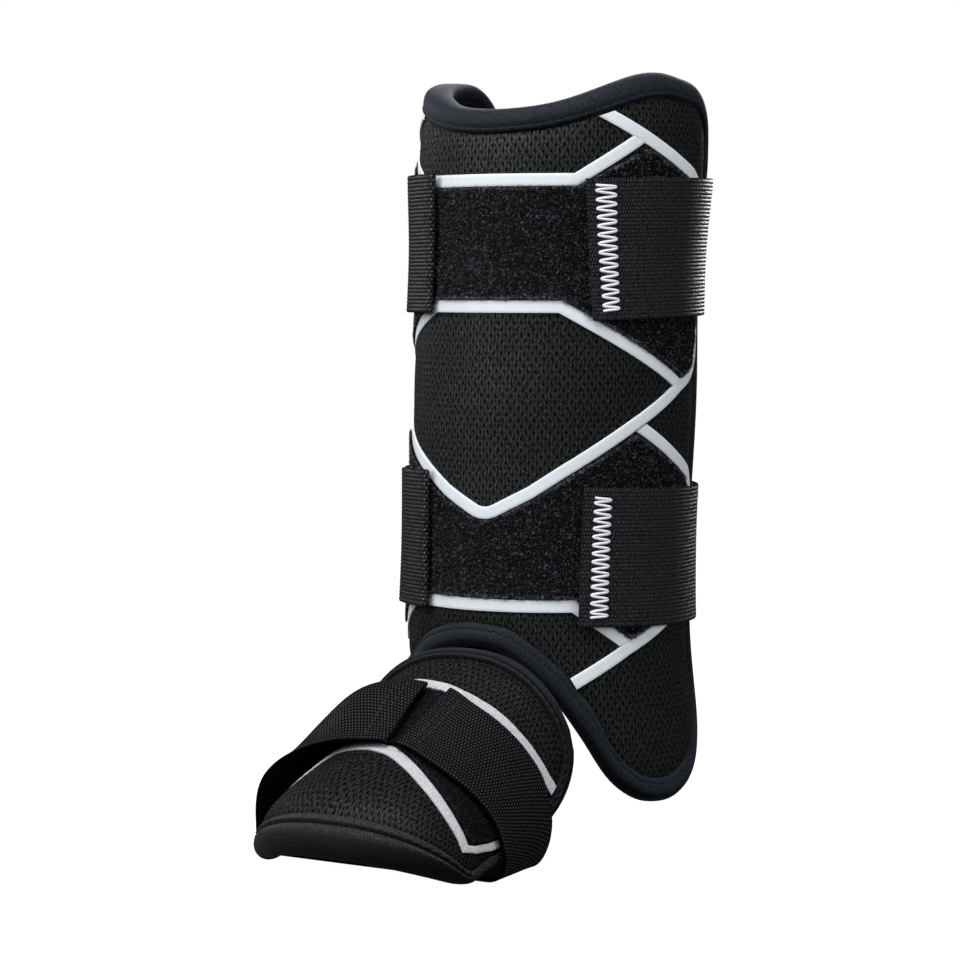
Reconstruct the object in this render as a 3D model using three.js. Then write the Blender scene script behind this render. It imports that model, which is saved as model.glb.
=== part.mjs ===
// Batter's leg guard for the left leg: a padded shin shell with an ankle flap, a padded foot guard,
// a tongue that joins the two at the ankle, and three elastic straps.
// Millimetres and degrees, +Z up. The toes point along -Y and the outer side of the leg is +X.
// The origin lies on the leg axis, at the middle height of the shin shell.
// Every piece is drawn in the flat pattern of the surface it lies on and then wrapped on to it.
import * as THREE from "three";

const GAP = 0.35; // clearance between neighbouring pieces

// Shin shell: angles are measured round the leg from the front, positive to the outer side.
const SHIN_RADIUS = 52; // nominal outer radius, used for lengths in the pattern
const SHIN_WALL = 9; // padded wall
const SHIN_EDGE_ANGLE = 122; // where each wing ends at the back
const SHIN_CORNER_TOP = 26;
const SHIN_CORNER_FLAP = 38;
const SHIN_CORNER_INNER = 24;
const PATTERN_TURN = 2.5; // the lines and panels are centred a little to the outer side of the front
const INNER_SHIFT = 4; // degrees that the inner half of the pattern lies further back
const INNER_SHIFT_TOP = 8.5; // further degrees for the part of it above the upper strap
const SHIN_STEP = 6; // degrees between columns
const SHIN_ROWS = 12;
const BINDING_WIDTH = 8.5;
const BINDING_PROUD = 0.7; // how far the rolled edge stands over both faces of the wall

// Foot guard: `along` runs from 0 at the ankle to 1 at the toes, `across` is the arch angle.
const FOOT_WALL = 8.5;
const FOOT_LENGTH = 92; // mean length in the pattern
const FOOT_ARC = 0.76; // mean millimetres per degree across the arch
const FOOT_FULLNESS = 0.86; // below 1 makes the arch squarer than an ellipse
const FOOT_ANKLE_BAND = 0.065; // width of the rolled edge at the ankle end, as a share of the length
const FOOT_TOE_BAND = 0.12;
const FOOT_SIDE_BAND = 7; // degrees
const FOOT_CORNER_ANKLE = 22;
const FOOT_CORNER_TOE = 14;
const FOOT_ROWS = 13;
const FOOT_COLUMNS = 16;

// Layers over the shells
const TRIM_WIDTH = 4.4;
const FOOT_TRIM_WIDTH = 3.4;
const TRIM_THICK = 0.8;
const TRIM_STEP = 5;
const PILE_THICK = 1.4;
const FOOT_PILE_THICK = 1.2;
const STRAP_THICK = 1.5;
const STRAP_TAB_THICK = 2.8; // the folded end on the inner side
const STRAP_TAB_LENGTH = 24; // degrees
const STRAP_STEP = 6;
const CALF_RADIUS = 49; // inside of the straps where they pass behind the calf

const FOOT_STRAP_THICK = 1.7;
const FOOT_STRAP_SIDE = 86; // arch angle where the strap leaves the guard on its way under the sole
const SOLE_HEIGHT = -142.6; // underside of the foot strap
const SOLE_CORNER = 9;

const TONGUE_HALF_ANGLE = 22;
const TONGUE_THICK = 3;

const SHIN_SECTIONS = [
  { height: -132, centreX: 1.2, centreY: 0.5, radius: 54.4 },
  { height: -105, centreX: -0.3, centreY: -0.5, radius: 53.3 },
  { height: -75, centreX: -1.9, centreY: -1.1, radius: 52.0 },
  { height: -40, centreX: -1.6, centreY: -0.8, radius: 51.0 },
  { height: 14, centreX: -0.3, centreY: 0.0, radius: 51.8 },
  { height: 68, centreX: 1.2, centreY: 0.7, radius: 51.0 },
  { height: 105, centreX: 2.4, centreY: 1.4, radius: 52.6 },
  { height: 118, centreX: 2.8, centreY: 1.6, radius: 52.0 },
  { height: 133, centreX: 3.2, centreY: 1.8, radius: 49.4 },
];

const SHIN_EDGES = [
  { angle: -122, top: 131.0, bottom: -92.0 },
  { angle: -85, top: 131.5, bottom: -93.0 },
  { angle: -60, top: 129.5, bottom: -91.5 },
  { angle: -40, top: 124.8, bottom: -86.0 },
  { angle: -22, top: 120.3, bottom: -77.0 },
  { angle: 0, top: 118.5, bottom: -73.0 },
  { angle: 12, top: 118.9, bottom: -75.4 },
  { angle: 22, top: 120.0, bottom: -82.2 },
  { angle: 32, top: 122.1, bottom: -92.0 },
  { angle: 42, top: 125.0, bottom: -105.2 },
  { angle: 52, top: 128.0, bottom: -119.4 },
  { angle: 62, top: 130.5, bottom: -126.8 },
  { angle: 75, top: 131.8, bottom: -129.6 },
  { angle: 90, top: 130.4, bottom: -127.8 },
  { angle: 122, top: 128.0, bottom: -121.0 },
];

// Pile panels and white lines on the shin: the outer half, by angle from the centre line of the
// pattern. The inner half is its mirror image.
const PILE_UPPER = [
  { angle: 0, lower: 51.4, upper: 90.5 },
  { angle: 28.3, lower: 51.4, upper: 90.5 },
  { angle: 33.7, lower: 49.1, upper: 90.6 },
  { angle: 62, lower: 35.3, upper: 103.8 },
  { angle: 72.5, lower: 30.2, upper: 98.9 },
  { angle: 88.5, lower: 22.4, upper: 93.1 },
  { angle: 96.5, lower: 25.5, upper: 87.6 },
  { angle: 102.1, lower: 38.0, upper: 75.0 },
];
const PILE_LOWER = [
  { angle: 0, lower: -54.5, upper: -27.7 },
  { angle: 5.5, lower: -54.5, upper: -26.3 },
  { angle: 19.1, lower: -54.5, upper: -20.6 },
  { angle: 38.1, lower: -54.5, upper: -9.8 },
  { angle: 60.1, lower: -68.6, upper: 2.2 },
  { angle: 62.5, lower: -69.3, upper: 2.1 },
  { angle: 78.1, lower: -62.9, upper: -5.5 },
  { angle: 95.5, lower: -55.4, upper: -13.9 },
  { angle: 102.1, lower: -44.0, upper: -24.0 },
];

const LINE_TOP = [
  { angle: 0, height: 93.2 },
  { angle: 32.9, height: 93.2 },
  { angle: 57.0, height: 107.0 },
];
const LINE_SIDE_UPPER = [
  { angle: 45.0, height: 115.8 },
  { angle: 57.4, height: 110.1 },
  { angle: 68.0, height: 105.1 },
  { angle: 80.0, height: 99.8 },
  { angle: 89.5, height: 96.1 },
  { angle: 98.0, height: 91.2 },
  { angle: 104.0, height: 82.0 },
  { angle: 106.0, height: 70.0 },
  { angle: 106.0, height: 42.0 },
  { angle: 104.0, height: 31.0 },
  { angle: 99.0, height: 24.0 },
  { angle: 93.3, height: 20.3 },
];
const LINE_SIDE_UPPER_INNER_START = { angle: 42.5, height: 116.9 };
const LINE_SHIELD = [
  { angle: 0, height: 48.7 },
  { angle: 28.8, height: 48.7 },
  { angle: 87.0, height: 20.2 },
  { angle: 60.6, height: 6.7 },
  { angle: 31.1, height: -9.8 },
  { angle: 19.1, height: -16.9 },
  { angle: 5.5, height: -23.3 },
  { angle: 0, height: -24.8 },
];
const LINE_SIDE_LOWER = [
  { angle: 65.5, height: 5.1 },
  { angle: 85.7, height: -5.4 },
  { angle: 99.0, height: -11.6 },
  { angle: 104.5, height: -18.0 },
  { angle: 106.0, height: -25.0 },
  { angle: 106.0, height: -44.0 },
  { angle: 103.5, height: -52.0 },
  { angle: 95.5, height: -58.6 },
  { angle: 78.1, height: -66.0 },
  { angle: 60.1, height: -73.3 },
];
const LINE_SIDE_LOWER_END = {
  outer: { angle: 38.7, height: -83.9 },
  inner: { angle: 52.5, height: -77.0 },
};
const LINE_BOTTOM = [
  { angle: 0, height: -57.3 },
  { angle: 37.6, height: -57.3 },
  { angle: 57.1, height: -69.6 },
];

// Calf straps: both ends lie on the front, the rest goes round the back of the calf.
const STRAP_UPPER = {
  bottom: 44.5,
  top: 94.3,
  outerTop: 38.6,
  outerBottom: 43.8,
  innerTop: -26,
  innerBottom: -27.5,
};
const STRAP_LOWER = {
  bottom: -64.4,
  top: -14.8,
  outerTop: 42.4,
  outerBottom: 41.4,
  innerTop: -26,
  innerBottom: -24.5,
};
// How far each strap has risen, by angle from the front round the outer side.
const STRAP_RISE = [
  { angle: 40, upper: -0.8, lower: 0.0 },
  { angle: 115, upper: 0.8, lower: -2.0 },
  { angle: 235, upper: 1.6, lower: 2.5 },
  { angle: 335, upper: 1.8, lower: 4.8 },
];

const FOOT_SECTIONS = [
  { along: 0, ridgeY: -60.5, ridgeZ: -70.8, halfWidth: 49, sideY: -64, sideZ: -122 },
  { along: 0.22, ridgeY: -80, ridgeZ: -82.5, halfWidth: 43.2, sideY: -80, sideZ: -129 },
  { along: 0.5, ridgeY: -107, ridgeZ: -98, halfWidth: 43, sideY: -101, sideZ: -134.5 },
  { along: 0.85, ridgeY: -145, ridgeZ: -115.5, halfWidth: 43, sideY: -123.5, sideZ: -139 },
  { along: 1, ridgeY: -154, ridgeZ: -129.4, halfWidth: 41, sideY: -128, sideZ: -142 },
];

// Pale lines on the foot guard.
const FOOT_LINE_REAR = [
  { across: -77, along: 0.165 },
  { across: -70, along: 0.185 },
  { across: -46, along: 0.205 },
  { across: -25, along: 0.21 },
  { across: -10, along: 0.217 },
  { across: 0, along: 0.233 },
  { across: 11.4, along: 0.253 },
  { across: 21.7, along: 0.259 },
  { across: 34, along: 0.253 },
  { across: 46, along: 0.242 },
  { across: 60, along: 0.216 },
  { across: 71, along: 0.189 },
  { across: 77, along: 0.166 },
];
const FOOT_LINE_FRONT = [
  { across: -79, along: 0.55 },
  { across: -76, along: 0.64 },
  { across: -72, along: 0.725 },
  { across: -67, along: 0.765 },
  { across: -56, along: 0.68 },
  { across: -42, along: 0.58 },
  { across: -28, along: 0.538 },
  { across: -14, along: 0.545 },
  { across: -6, along: 0.55 },
  { across: 0.5, along: 0.564 },
  { across: 12, along: 0.61 },
  { across: 26.4, along: 0.663 },
  { across: 40, along: 0.707 },
  { across: 52.4, along: 0.745 },
  { across: 61.6, along: 0.774 },
  { across: 67.5, along: 0.8 },
  { across: 72.5, along: 0.757 },
  { across: 76.6, along: 0.672 },
  { across: 79, along: 0.58 },
];
const FOOT_PILE = [
  { across: -75, back: 0.215, front: 0.56 },
  { across: -70, back: 0.224, front: 0.69 },
  { across: -64, back: 0.23, front: 0.7 },
  { across: -56, back: 0.234, front: 0.64 },
  { across: -42, back: 0.236, front: 0.545 },
  { across: -28, back: 0.238, front: 0.508 },
  { across: -10, back: 0.246, front: 0.517 },
  { across: 0, back: 0.262, front: 0.53 },
  { across: 12, back: 0.282, front: 0.578 },
  { across: 22, back: 0.287, front: 0.615 },
  { across: 34, back: 0.281, front: 0.656 },
  { across: 46, back: 0.27, front: 0.692 },
  { across: 60, back: 0.244, front: 0.738 },
  { across: 67, back: 0.228, front: 0.75 },
  { across: 70, back: 0.222, front: 0.72 },
  { across: 75, back: 0.215, front: 0.58 },
];
const FOOT_STRAP_EDGES = [
  { across: -86, back: 0.25, front: 0.62, slackBack: 3, slackFront: 11 },
  { across: -62, back: 0.245, front: 0.62, slackBack: 1.4, slackFront: 11 },
  { across: -40, back: 0.24, front: 0.605, slackBack: 0.5, slackFront: 8 },
  { across: -24, back: 0.242, front: 0.585, slackBack: 0.1, slackFront: 4.5 },
  { across: -8, back: 0.248, front: 0.57, slackBack: 0, slackFront: 1 },
  { across: 0, back: 0.255, front: 0.566, slackBack: 0, slackFront: 0.2 },
  { across: 8, back: 0.263, front: 0.575, slackBack: 0, slackFront: 0 },
  { across: 20, back: 0.29, front: 0.602, slackBack: 0, slackFront: 0 },
  { across: 36, back: 0.29, front: 0.62, slackBack: 0, slackFront: 0 },
  { across: 52, back: 0.27, front: 0.62, slackBack: 0, slackFront: 0 },
  { across: 68, back: 0.24, front: 0.605, slackBack: 0, slackFront: 0 },
  { across: 86, back: 0.23, front: 0.583, slackBack: 0, slackFront: 0 },
];
const FOOT_STRAP_ENDS = { innerBack: -1.4, innerFront: 0.1, outerBack: 8.1, outerFront: 4.6 };
const FOOT_STRAP_SOLE = { back: -82, front: -112 };

const RAD = Math.PI / 180;
const ARC = SHIN_RADIUS * RAD; // millimetres per degree in the shin pattern

// Smooth curve through the rows of a table, read at `x` in column `key`.
function read(table, key, column, x) {
  const last = table.length - 1;
  const at = Math.min(Math.max(x, table[0][key]), table[last][key]);
  let i = 0;
  while (i < last - 1 && at > table[i + 1][key]) i += 1;
  const slope = (k) => (table[k + 1][column] - table[k][column]) / (table[k + 1][key] - table[k][key]);
  const span = (k) => table[k + 1][key] - table[k][key];
  const tangent = (k) => {
    if (k === 0) return slope(0);
    if (k === last) return slope(last - 1);
    return (slope(k - 1) * span(k) + slope(k) * span(k - 1)) / (span(k - 1) + span(k));
  };
  const h = span(i);
  const t = (at - table[i][key]) / h;
  const start = (1 + 2 * t) * (1 - t) ** 2 * table[i][column] + t * (1 - t) ** 2 * h * tangent(i);
  const end = t * t * (3 - 2 * t) * table[i + 1][column] + t * t * (t - 1) * h * tangent(i + 1);
  return start + end;
}

// Straight lines through the rows of a table.
function readStraight(table, key, column, x) {
  let i = 0;
  while (i < table.length - 2 && x > table[i + 1][key]) i += 1;
  const t = (x - table[i][key]) / (table[i + 1][key] - table[i][key]);
  return THREE.MathUtils.lerp(table[i][column], table[i + 1][column], t);
}

function steps(from, to, count) {
  return Array.from({ length: count + 1 }, (_, i) => THREE.MathUtils.lerp(from, to, i / count));
}

// How far a rounded corner of the given radius has fallen away at a distance from the end.
function cornerDrop(distance, radius) {
  const d = THREE.MathUtils.clamp(distance, 0, radius);
  return radius - Math.sqrt(radius ** 2 - (radius - d) ** 2);
}

function shinPoint(angle, height, offset) {
  const radius = read(SHIN_SECTIONS, "height", "radius", height) + offset;
  const x = read(SHIN_SECTIONS, "height", "centreX", height) + radius * Math.sin(angle * RAD);
  const y = read(SHIN_SECTIONS, "height", "centreY", height) - radius * Math.cos(angle * RAD);
  return new THREE.Vector3(x, y, height);
}

function shinLimit(column, angle, inset) {
  const step = 0.5;
  const edge = (at) => read(SHIN_EDGES, "angle", column, at);
  const rise = edge(angle + step) - edge(angle - step);
  const stretch = Math.hypot(1, rise / (2 * step * ARC));
  const distance = (SHIN_EDGE_ANGLE - Math.abs(angle)) * ARC - inset;
  const lowCorner = angle > 0 ? SHIN_CORNER_FLAP : SHIN_CORNER_INNER;
  const corner = column === "top" ? SHIN_CORNER_TOP : lowCorner;
  const drop = inset * stretch + cornerDrop(distance, corner - inset);
  return edge(angle) + (column === "top" ? -drop : drop);
}

// Columns of the shin pattern, closer together at the rounded corners.
function shinAngles(inset) {
  const reach = SHIN_EDGE_ANGLE - inset / ARC;
  const ends = [0, 0.15, 0.6, 1.4, 2.6].map((share) => share * SHIN_STEP);
  const inner = SHIN_EDGE_ANGLE - ends[ends.length - 1];
  const middle = steps(-inner, inner, Math.round((2 * inner) / SHIN_STEP));
  const rising = ends.slice(0, -1).map((gap) => gap - SHIN_EDGE_ANGLE);
  const falling = rising.map((angle) => -angle).reverse();
  return [...rising, ...middle, ...falling].map((angle) => (angle * reach) / SHIN_EDGE_ANGLE);
}

// Closed outline of the shin shell, set in from its edge.
function shinOutline(inset) {
  const reach = SHIN_EDGE_ANGLE - inset / ARC;
  const angles = shinAngles(inset);
  const top = angles.map((angle) => [angle, shinLimit("top", angle, inset)]);
  const bottom = angles.map((angle) => [angle, shinLimit("bottom", angle, inset)]).reverse();
  const outerEdge = steps(top[top.length - 1][1], bottom[0][1], 12).slice(1, -1).map((z) => [reach, z]);
  const innerEdge = steps(bottom[bottom.length - 1][1], top[0][1], 12).slice(1, -1).map((z) => [-reach, z]);
  return [...top, ...outerEdge, ...bottom, ...innerEdge];
}

function footSurface(along, across) {
  const column = (name) => read(FOOT_SECTIONS, "along", name, along);
  const side = Math.sin(across * RAD);
  const rise = Math.cos(across * RAD);
  const x = column("halfWidth") * Math.sign(side) * Math.abs(side) ** FOOT_FULLNESS;
  const y = THREE.MathUtils.lerp(column("sideY"), column("ridgeY"), rise);
  const z = THREE.MathUtils.lerp(column("sideZ"), column("ridgeZ"), rise);
  return new THREE.Vector3(x, y, z);
}

function footPoint(along, across, offset) {
  const step = 0.004;
  const turn = 1;
  const front = footSurface(Math.min(along + step, 1), across);
  const forward = front.sub(footSurface(Math.max(along - step, 0), across));
  const sideways = footSurface(along, across + turn).sub(footSurface(along, across - turn));
  const normal = forward.cross(sideways).normalize();
  return footSurface(along, across).addScaledVector(normal, offset);
}

function footReach(along, share) {
  const start = share * FOOT_ANKLE_BAND;
  const end = 1 - share * FOOT_TOE_BAND;
  const trimmed = share * FOOT_SIDE_BAND * FOOT_ARC;
  const ankle = cornerDrop((along - start) * FOOT_LENGTH, FOOT_CORNER_ANKLE - trimmed * 0.6);
  const toe = cornerDrop((end - along) * FOOT_LENGTH, FOOT_CORNER_TOE - trimmed * 0.6);
  return 90 - share * FOOT_SIDE_BAND - (ankle + toe) / FOOT_ARC;
}

function footAlongs(share) {
  const start = share * FOOT_ANKLE_BAND;
  const end = 1 - share * FOOT_TOE_BAND;
  const eased = (t) => (t * t * (3 - 2 * t) + t) / 2;
  return steps(0, 1, FOOT_ROWS).map((t) => THREE.MathUtils.lerp(start, end, eased(t)));
}

// Closed outline of the foot guard; `share` is how much of the rolled edge lies outside it.
function footOutline(share) {
  const alongs = footAlongs(share);
  const outer = alongs.map((along) => [along, footReach(along, share)]);
  const inner = alongs.map((along) => [along, -footReach(along, share)]).reverse();
  const reachToe = outer[outer.length - 1][1];
  const reachAnkle = outer[0][1];
  const toe = steps(reachToe, -reachToe, FOOT_COLUMNS).slice(1, -1).map((a) => [alongs[FOOT_ROWS], a]);
  const ankle = steps(-reachAnkle, reachAnkle, FOOT_COLUMNS).slice(1, -1).map((a) => [alongs[0], a]);
  return [...outer, ...toe, ...inner, ...ankle];
}

function geometry(points, faces) {
  const positions = [];
  for (const corner of faces.flat()) positions.push(...points[corner].toArray());
  const result = new THREE.BufferGeometry();
  result.setAttribute("position", new THREE.Float32BufferAttribute(positions, 3));
  result.computeVertexNormals();
  return result;
}

// Solid between two grids of points with the same rows and columns.
function slab(outer, inner) {
  const rows = outer.length;
  const columns = outer[0].length;
  const points = [...outer.flat(), ...inner.flat()];
  const top = (i, j) => i * columns + j;
  const low = (i, j) => rows * columns + i * columns + j;
  const faces = [];
  const quad = (a, b, c, d) => faces.push([a, b, c], [a, c, d]);
  for (let i = 0; i < rows - 1; i += 1) {
    for (let j = 0; j < columns - 1; j += 1) {
      quad(top(i, j), top(i + 1, j), top(i + 1, j + 1), top(i, j + 1));
      quad(low(i, j), low(i, j + 1), low(i + 1, j + 1), low(i + 1, j));
    }
    quad(top(i, 0), low(i, 0), low(i + 1, 0), top(i + 1, 0));
    quad(top(i, columns - 1), top(i + 1, columns - 1), low(i + 1, columns - 1), low(i, columns - 1));
  }
  for (let j = 0; j < columns - 1; j += 1) {
    quad(top(0, j), top(0, j + 1), low(0, j + 1), low(0, j));
    quad(top(rows - 1, j), low(rows - 1, j), low(rows - 1, j + 1), top(rows - 1, j + 1));
  }
  return geometry(points, faces);
}

// Solid ring through closed loops that all have the same number of points.
function ring(loops) {
  const count = loops[0].length;
  const faces = [];
  for (let k = 0; k < loops.length; k += 1) {
    const here = k * count;
    const next = ((k + 1) % loops.length) * count;
    for (let i = 0; i < count; i += 1) {
      const j = (i + 1) % count;
      faces.push([here + i, here + j, next + j], [here + i, next + j, next + i]);
    }
  }
  return geometry(loops.flat(), faces);
}

// Rolled edge: the profile goes from the seam on the outer face, round the rim, to the inner face.
function rolledEdge(wall, outlineAt, pointAt) {
  const profile = [
    { share: 1, depth: 0 },
    { share: 0.5, depth: 0 },
    { share: 0.14, depth: 0.18 },
    { share: 0, depth: 0.5 },
    { share: 0.14, depth: 0.82 },
    { share: 0.5, depth: 1 },
    { share: 1, depth: 1 },
  ];
  const loops = profile.map(({ share, depth }) => {
    const offset = THREE.MathUtils.lerp(BINDING_PROUD, -wall - BINDING_PROUD, depth);
    return outlineAt(share).map(([u, v]) => pointAt(u, v, offset));
  });
  return ring(loops);
}

function mirrored(rows) {
  const other = rows.filter((row) => row.angle > 0).reverse();
  return [...other.map((row) => ({ ...row, angle: -row.angle })), ...rows];
}

function resample(corners) {
  const path = [];
  corners.forEach((corner, i) => {
    path.push(corner);
    if (i === corners.length - 1) return;
    const count = Math.max(1, Math.round(corner.distanceTo(corners[i + 1]) / TRIM_STEP));
    for (let k = 1; k < count; k += 1) path.push(corner.clone().lerp(corners[i + 1], k / count));
  });
  return path;
}

// Right and left edges of a line of constant width along a path in the flat pattern.
function lineEdges(path, closed, width) {
  const count = path.length;
  return path.map((point, i) => {
    const before = path[closed ? (i + count - 1) % count : Math.max(i - 1, 0)];
    const after = path[closed ? (i + 1) % count : Math.min(i + 1, count - 1)];
    const arriving = point.clone().sub(before).normalize();
    const leaving = after.clone().sub(point).normalize();
    const tangent = arriving.clone().add(leaving).normalize();
    const single = arriving.lengthSq() > 0 ? arriving : leaving;
    const mitre = Math.max(tangent.dot(single), 0.5);
    const sideways = new THREE.Vector2(-tangent.y, tangent.x).multiplyScalar(width / 2 / mitre);
    return [point.clone().sub(sideways), point.clone().add(sideways)];
  });
}

// Swings the end of a line parallel to the line that it meets.
function cutEnd(edges, index, along, meets) {
  const sideways = edges[index][0].clone().sub(edges[index][1]).normalize();
  const skew = (meets.dot(along) / meets.dot(sideways)) * (TRIM_WIDTH / 2);
  edges[index][0].addScaledVector(along, skew);
  edges[index][1].addScaledVector(along, -skew);
}

function shinFlat(row) {
  return new THREE.Vector2(row.angle * ARC, row.height);
}

function footFlat(row) {
  return new THREE.Vector2(row.along * FOOT_LENGTH, row.across * FOOT_ARC);
}

// Angle on the shell of a place in the pattern of the lines and panels.
function patternAngle(angle, height) {
  const inner = INNER_SHIFT * THREE.MathUtils.smoothstep(-angle, 20, 50);
  const reach = THREE.MathUtils.smoothstep(-angle, 5, 35) - THREE.MathUtils.smoothstep(-angle, 58, 95);
  return angle + PATTERN_TURN - inner - INNER_SHIFT_TOP * reach * THREE.MathUtils.smoothstep(height, 60, 88);
}

function onShin(p, offset) {
  return shinPoint(patternAngle(p.x / ARC, p.y), p.y, offset);
}

function onFoot(p, offset) {
  return footPoint(p.x / FOOT_LENGTH, p.y / FOOT_ARC, offset);
}

function openLine(corners, wrap, width, startMeets, endMeets) {
  const path = resample(corners);
  const edges = lineEdges(path, false, width);
  const last = path.length - 1;
  if (startMeets) cutEnd(edges, 0, path[1].clone().sub(path[0]).normalize(), startMeets);
  if (endMeets) cutEnd(edges, last, path[last].clone().sub(path[last - 1]).normalize(), endMeets);
  const layer = (offset) => edges.map((pair) => pair.map((p) => wrap(p, offset)));
  return slab(layer(GAP + TRIM_THICK), layer(GAP));
}

function shinLine(rows, startMeets, endMeets) {
  return openLine(rows.map(shinFlat), onShin, TRIM_WIDTH, startMeets, endMeets);
}

function closedLine(corners, wrap) {
  const path = resample([...corners, corners[0]]).slice(0, -1);
  const edges = lineEdges(path, true, TRIM_WIDTH);
  const loop = (side, offset) => edges.map((pair) => wrap(pair[side], offset));
  const high = GAP + TRIM_THICK;
  return ring([loop(0, high), loop(1, high), loop(1, GAP), loop(0, GAP)]);
}

function direction(rows, from, to) {
  return shinFlat(rows[to]).sub(shinFlat(rows[from])).normalize();
}

function flip(vector) {
  return new THREE.Vector2(-vector.x, vector.y);
}

function across(rows) {
  return rows.map((row) => ({ ...row, angle: -row.angle }));
}

function pilePanel(table) {
  const angles = [];
  const rows = mirrored(table);
  rows.forEach((row, i) => {
    angles.push(row.angle);
    if (i === rows.length - 1) return;
    const count = Math.max(1, Math.round((rows[i + 1].angle - row.angle) / SHIN_STEP));
    angles.push(...steps(row.angle, rows[i + 1].angle, count).slice(1, -1));
  });
  const layer = (offset) =>
    angles.map((angle) => {
      const lower = readStraight(rows, "angle", "lower", angle);
      const upper = readStraight(rows, "angle", "upper", angle);
      return steps(lower, upper, 3).map((height) => shinPoint(patternAngle(angle, height), height, offset));
    });
  return slab(layer(GAP + PILE_THICK), layer(GAP));
}

// Calf strap from its outer end, round the back of the calf, to the folded tab on the inner side.
function calfStrap(size, riseColumn) {
  const base = GAP + PILE_THICK + GAP;
  const columns = 3;
  const count = Math.round((360 - size.outerTop + size.innerTop) / STRAP_STEP);
  const angleAt = (share, height) => {
    const t = (height - size.bottom) / (size.top - size.bottom);
    const start = THREE.MathUtils.lerp(size.outerBottom, size.outerTop, t);
    const end = 360 + THREE.MathUtils.lerp(size.innerBottom, size.innerTop, t);
    return THREE.MathUtils.lerp(start, end, share);
  };
  const strapPoint = (angle, height, rise) => {
    const behind = THREE.MathUtils.smoothstep(Math.abs(angle - 180), 0, 70);
    const radius = read(SHIN_SECTIONS, "height", "radius", height);
    const inside = THREE.MathUtils.lerp(CALF_RADIUS, radius + base, behind);
    return shinPoint(angle, height, inside - radius + rise);
  };
  const layer = (outer) =>
    steps(0, 1, count).map((share) =>
      steps(size.bottom, size.top, columns).map((height) => {
        const angle = angleAt(share, height);
        const left = angleAt(1, height) - angle;
        const thick = left < STRAP_TAB_LENGTH ? STRAP_TAB_THICK : STRAP_THICK;
        const lift = read(STRAP_RISE, "angle", riseColumn, angle);
        return strapPoint(angle, height + lift, outer ? thick : 0);
      }),
    );
  return slab(layer(true), layer(false));
}

function footGrid(offset) {
  const share = 1 + GAP / (FOOT_ANKLE_BAND * FOOT_LENGTH);
  return footAlongs(share).map((along) => {
    const reach = footReach(along, share);
    return steps(-reach, reach, FOOT_COLUMNS).map((angle) => footPoint(along, angle, offset));
  });
}

function footPile() {
  const reach = FOOT_PILE[FOOT_PILE.length - 1].across;
  const layer = (offset) =>
    steps(-reach, reach, 22).map((angle) => {
      const back = readStraight(FOOT_PILE, "across", "back", angle);
      const front = readStraight(FOOT_PILE, "across", "front", angle);
      return steps(front, back, 3).map((along) => footPoint(along, angle, offset));
    });
  return slab(layer(GAP + FOOT_PILE_THICK), layer(GAP));
}

// Foot strap from its outer end on the ridge, down the outer side, under the sole and up again.
function footStrap() {
  const columns = 3;
  const base = GAP + FOOT_PILE_THICK + 2 * GAP;
  const station = (angle, t, offset) => {
    const back = read(FOOT_STRAP_EDGES, "across", "back", angle);
    const front = read(FOOT_STRAP_EDGES, "across", "front", angle);
    const slackBack = read(FOOT_STRAP_EDGES, "across", "slackBack", angle);
    const slackFront = read(FOOT_STRAP_EDGES, "across", "slackFront", angle);
    const slack = THREE.MathUtils.lerp(slackBack, slackFront, t);
    return footPoint(THREE.MathUtils.lerp(back, front, t), angle, offset + slack);
  };
  const side = (sign, offset) =>
    steps(0, 1, 12).map((share) =>
      steps(1, 0, columns).map((t) => {
        const back = sign > 0 ? FOOT_STRAP_ENDS.outerBack : FOOT_STRAP_ENDS.innerBack;
        const front = sign > 0 ? FOOT_STRAP_ENDS.outerFront : FOOT_STRAP_ENDS.innerFront;
        const end = THREE.MathUtils.lerp(back, front, t);
        return station(THREE.MathUtils.lerp(end, sign * FOOT_STRAP_SIDE, share), t, offset);
      }),
    );
  const corner = (sign, offset, height) => {
    const edge = steps(1, 0, columns).map((t) => station(sign * FOOT_STRAP_SIDE, t, offset));
    return steps(0, 1, 6).slice(1).map((share) =>
      edge.map((from, k) => {
        const soleY = THREE.MathUtils.lerp(FOOT_STRAP_SOLE.front, FOOT_STRAP_SOLE.back, k / columns);
        const x = from.x - sign * SOLE_CORNER * (1 - Math.cos(share * 90 * RAD));
        const z = THREE.MathUtils.lerp(from.z, height, Math.sin(share * 90 * RAD));
        return new THREE.Vector3(x, THREE.MathUtils.lerp(from.y, soleY, share), z);
      }),
    );
  };
  const layer = (offset, height) => {
    const outer = [...side(1, offset), ...corner(1, offset, height)];
    const inner = [...side(-1, offset), ...corner(-1, offset, height)].reverse();
    const from = outer[outer.length - 1];
    const sole = steps(0, 1, 4).slice(1, -1).map((t) => from.map((p, k) => p.clone().lerp(inner[0][k], t)));
    return [...outer, ...sole, ...inner];
  };
  return slab(layer(base + FOOT_STRAP_THICK, SOLE_HEIGHT), layer(base, SOLE_HEIGHT + FOOT_STRAP_THICK));
}

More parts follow.
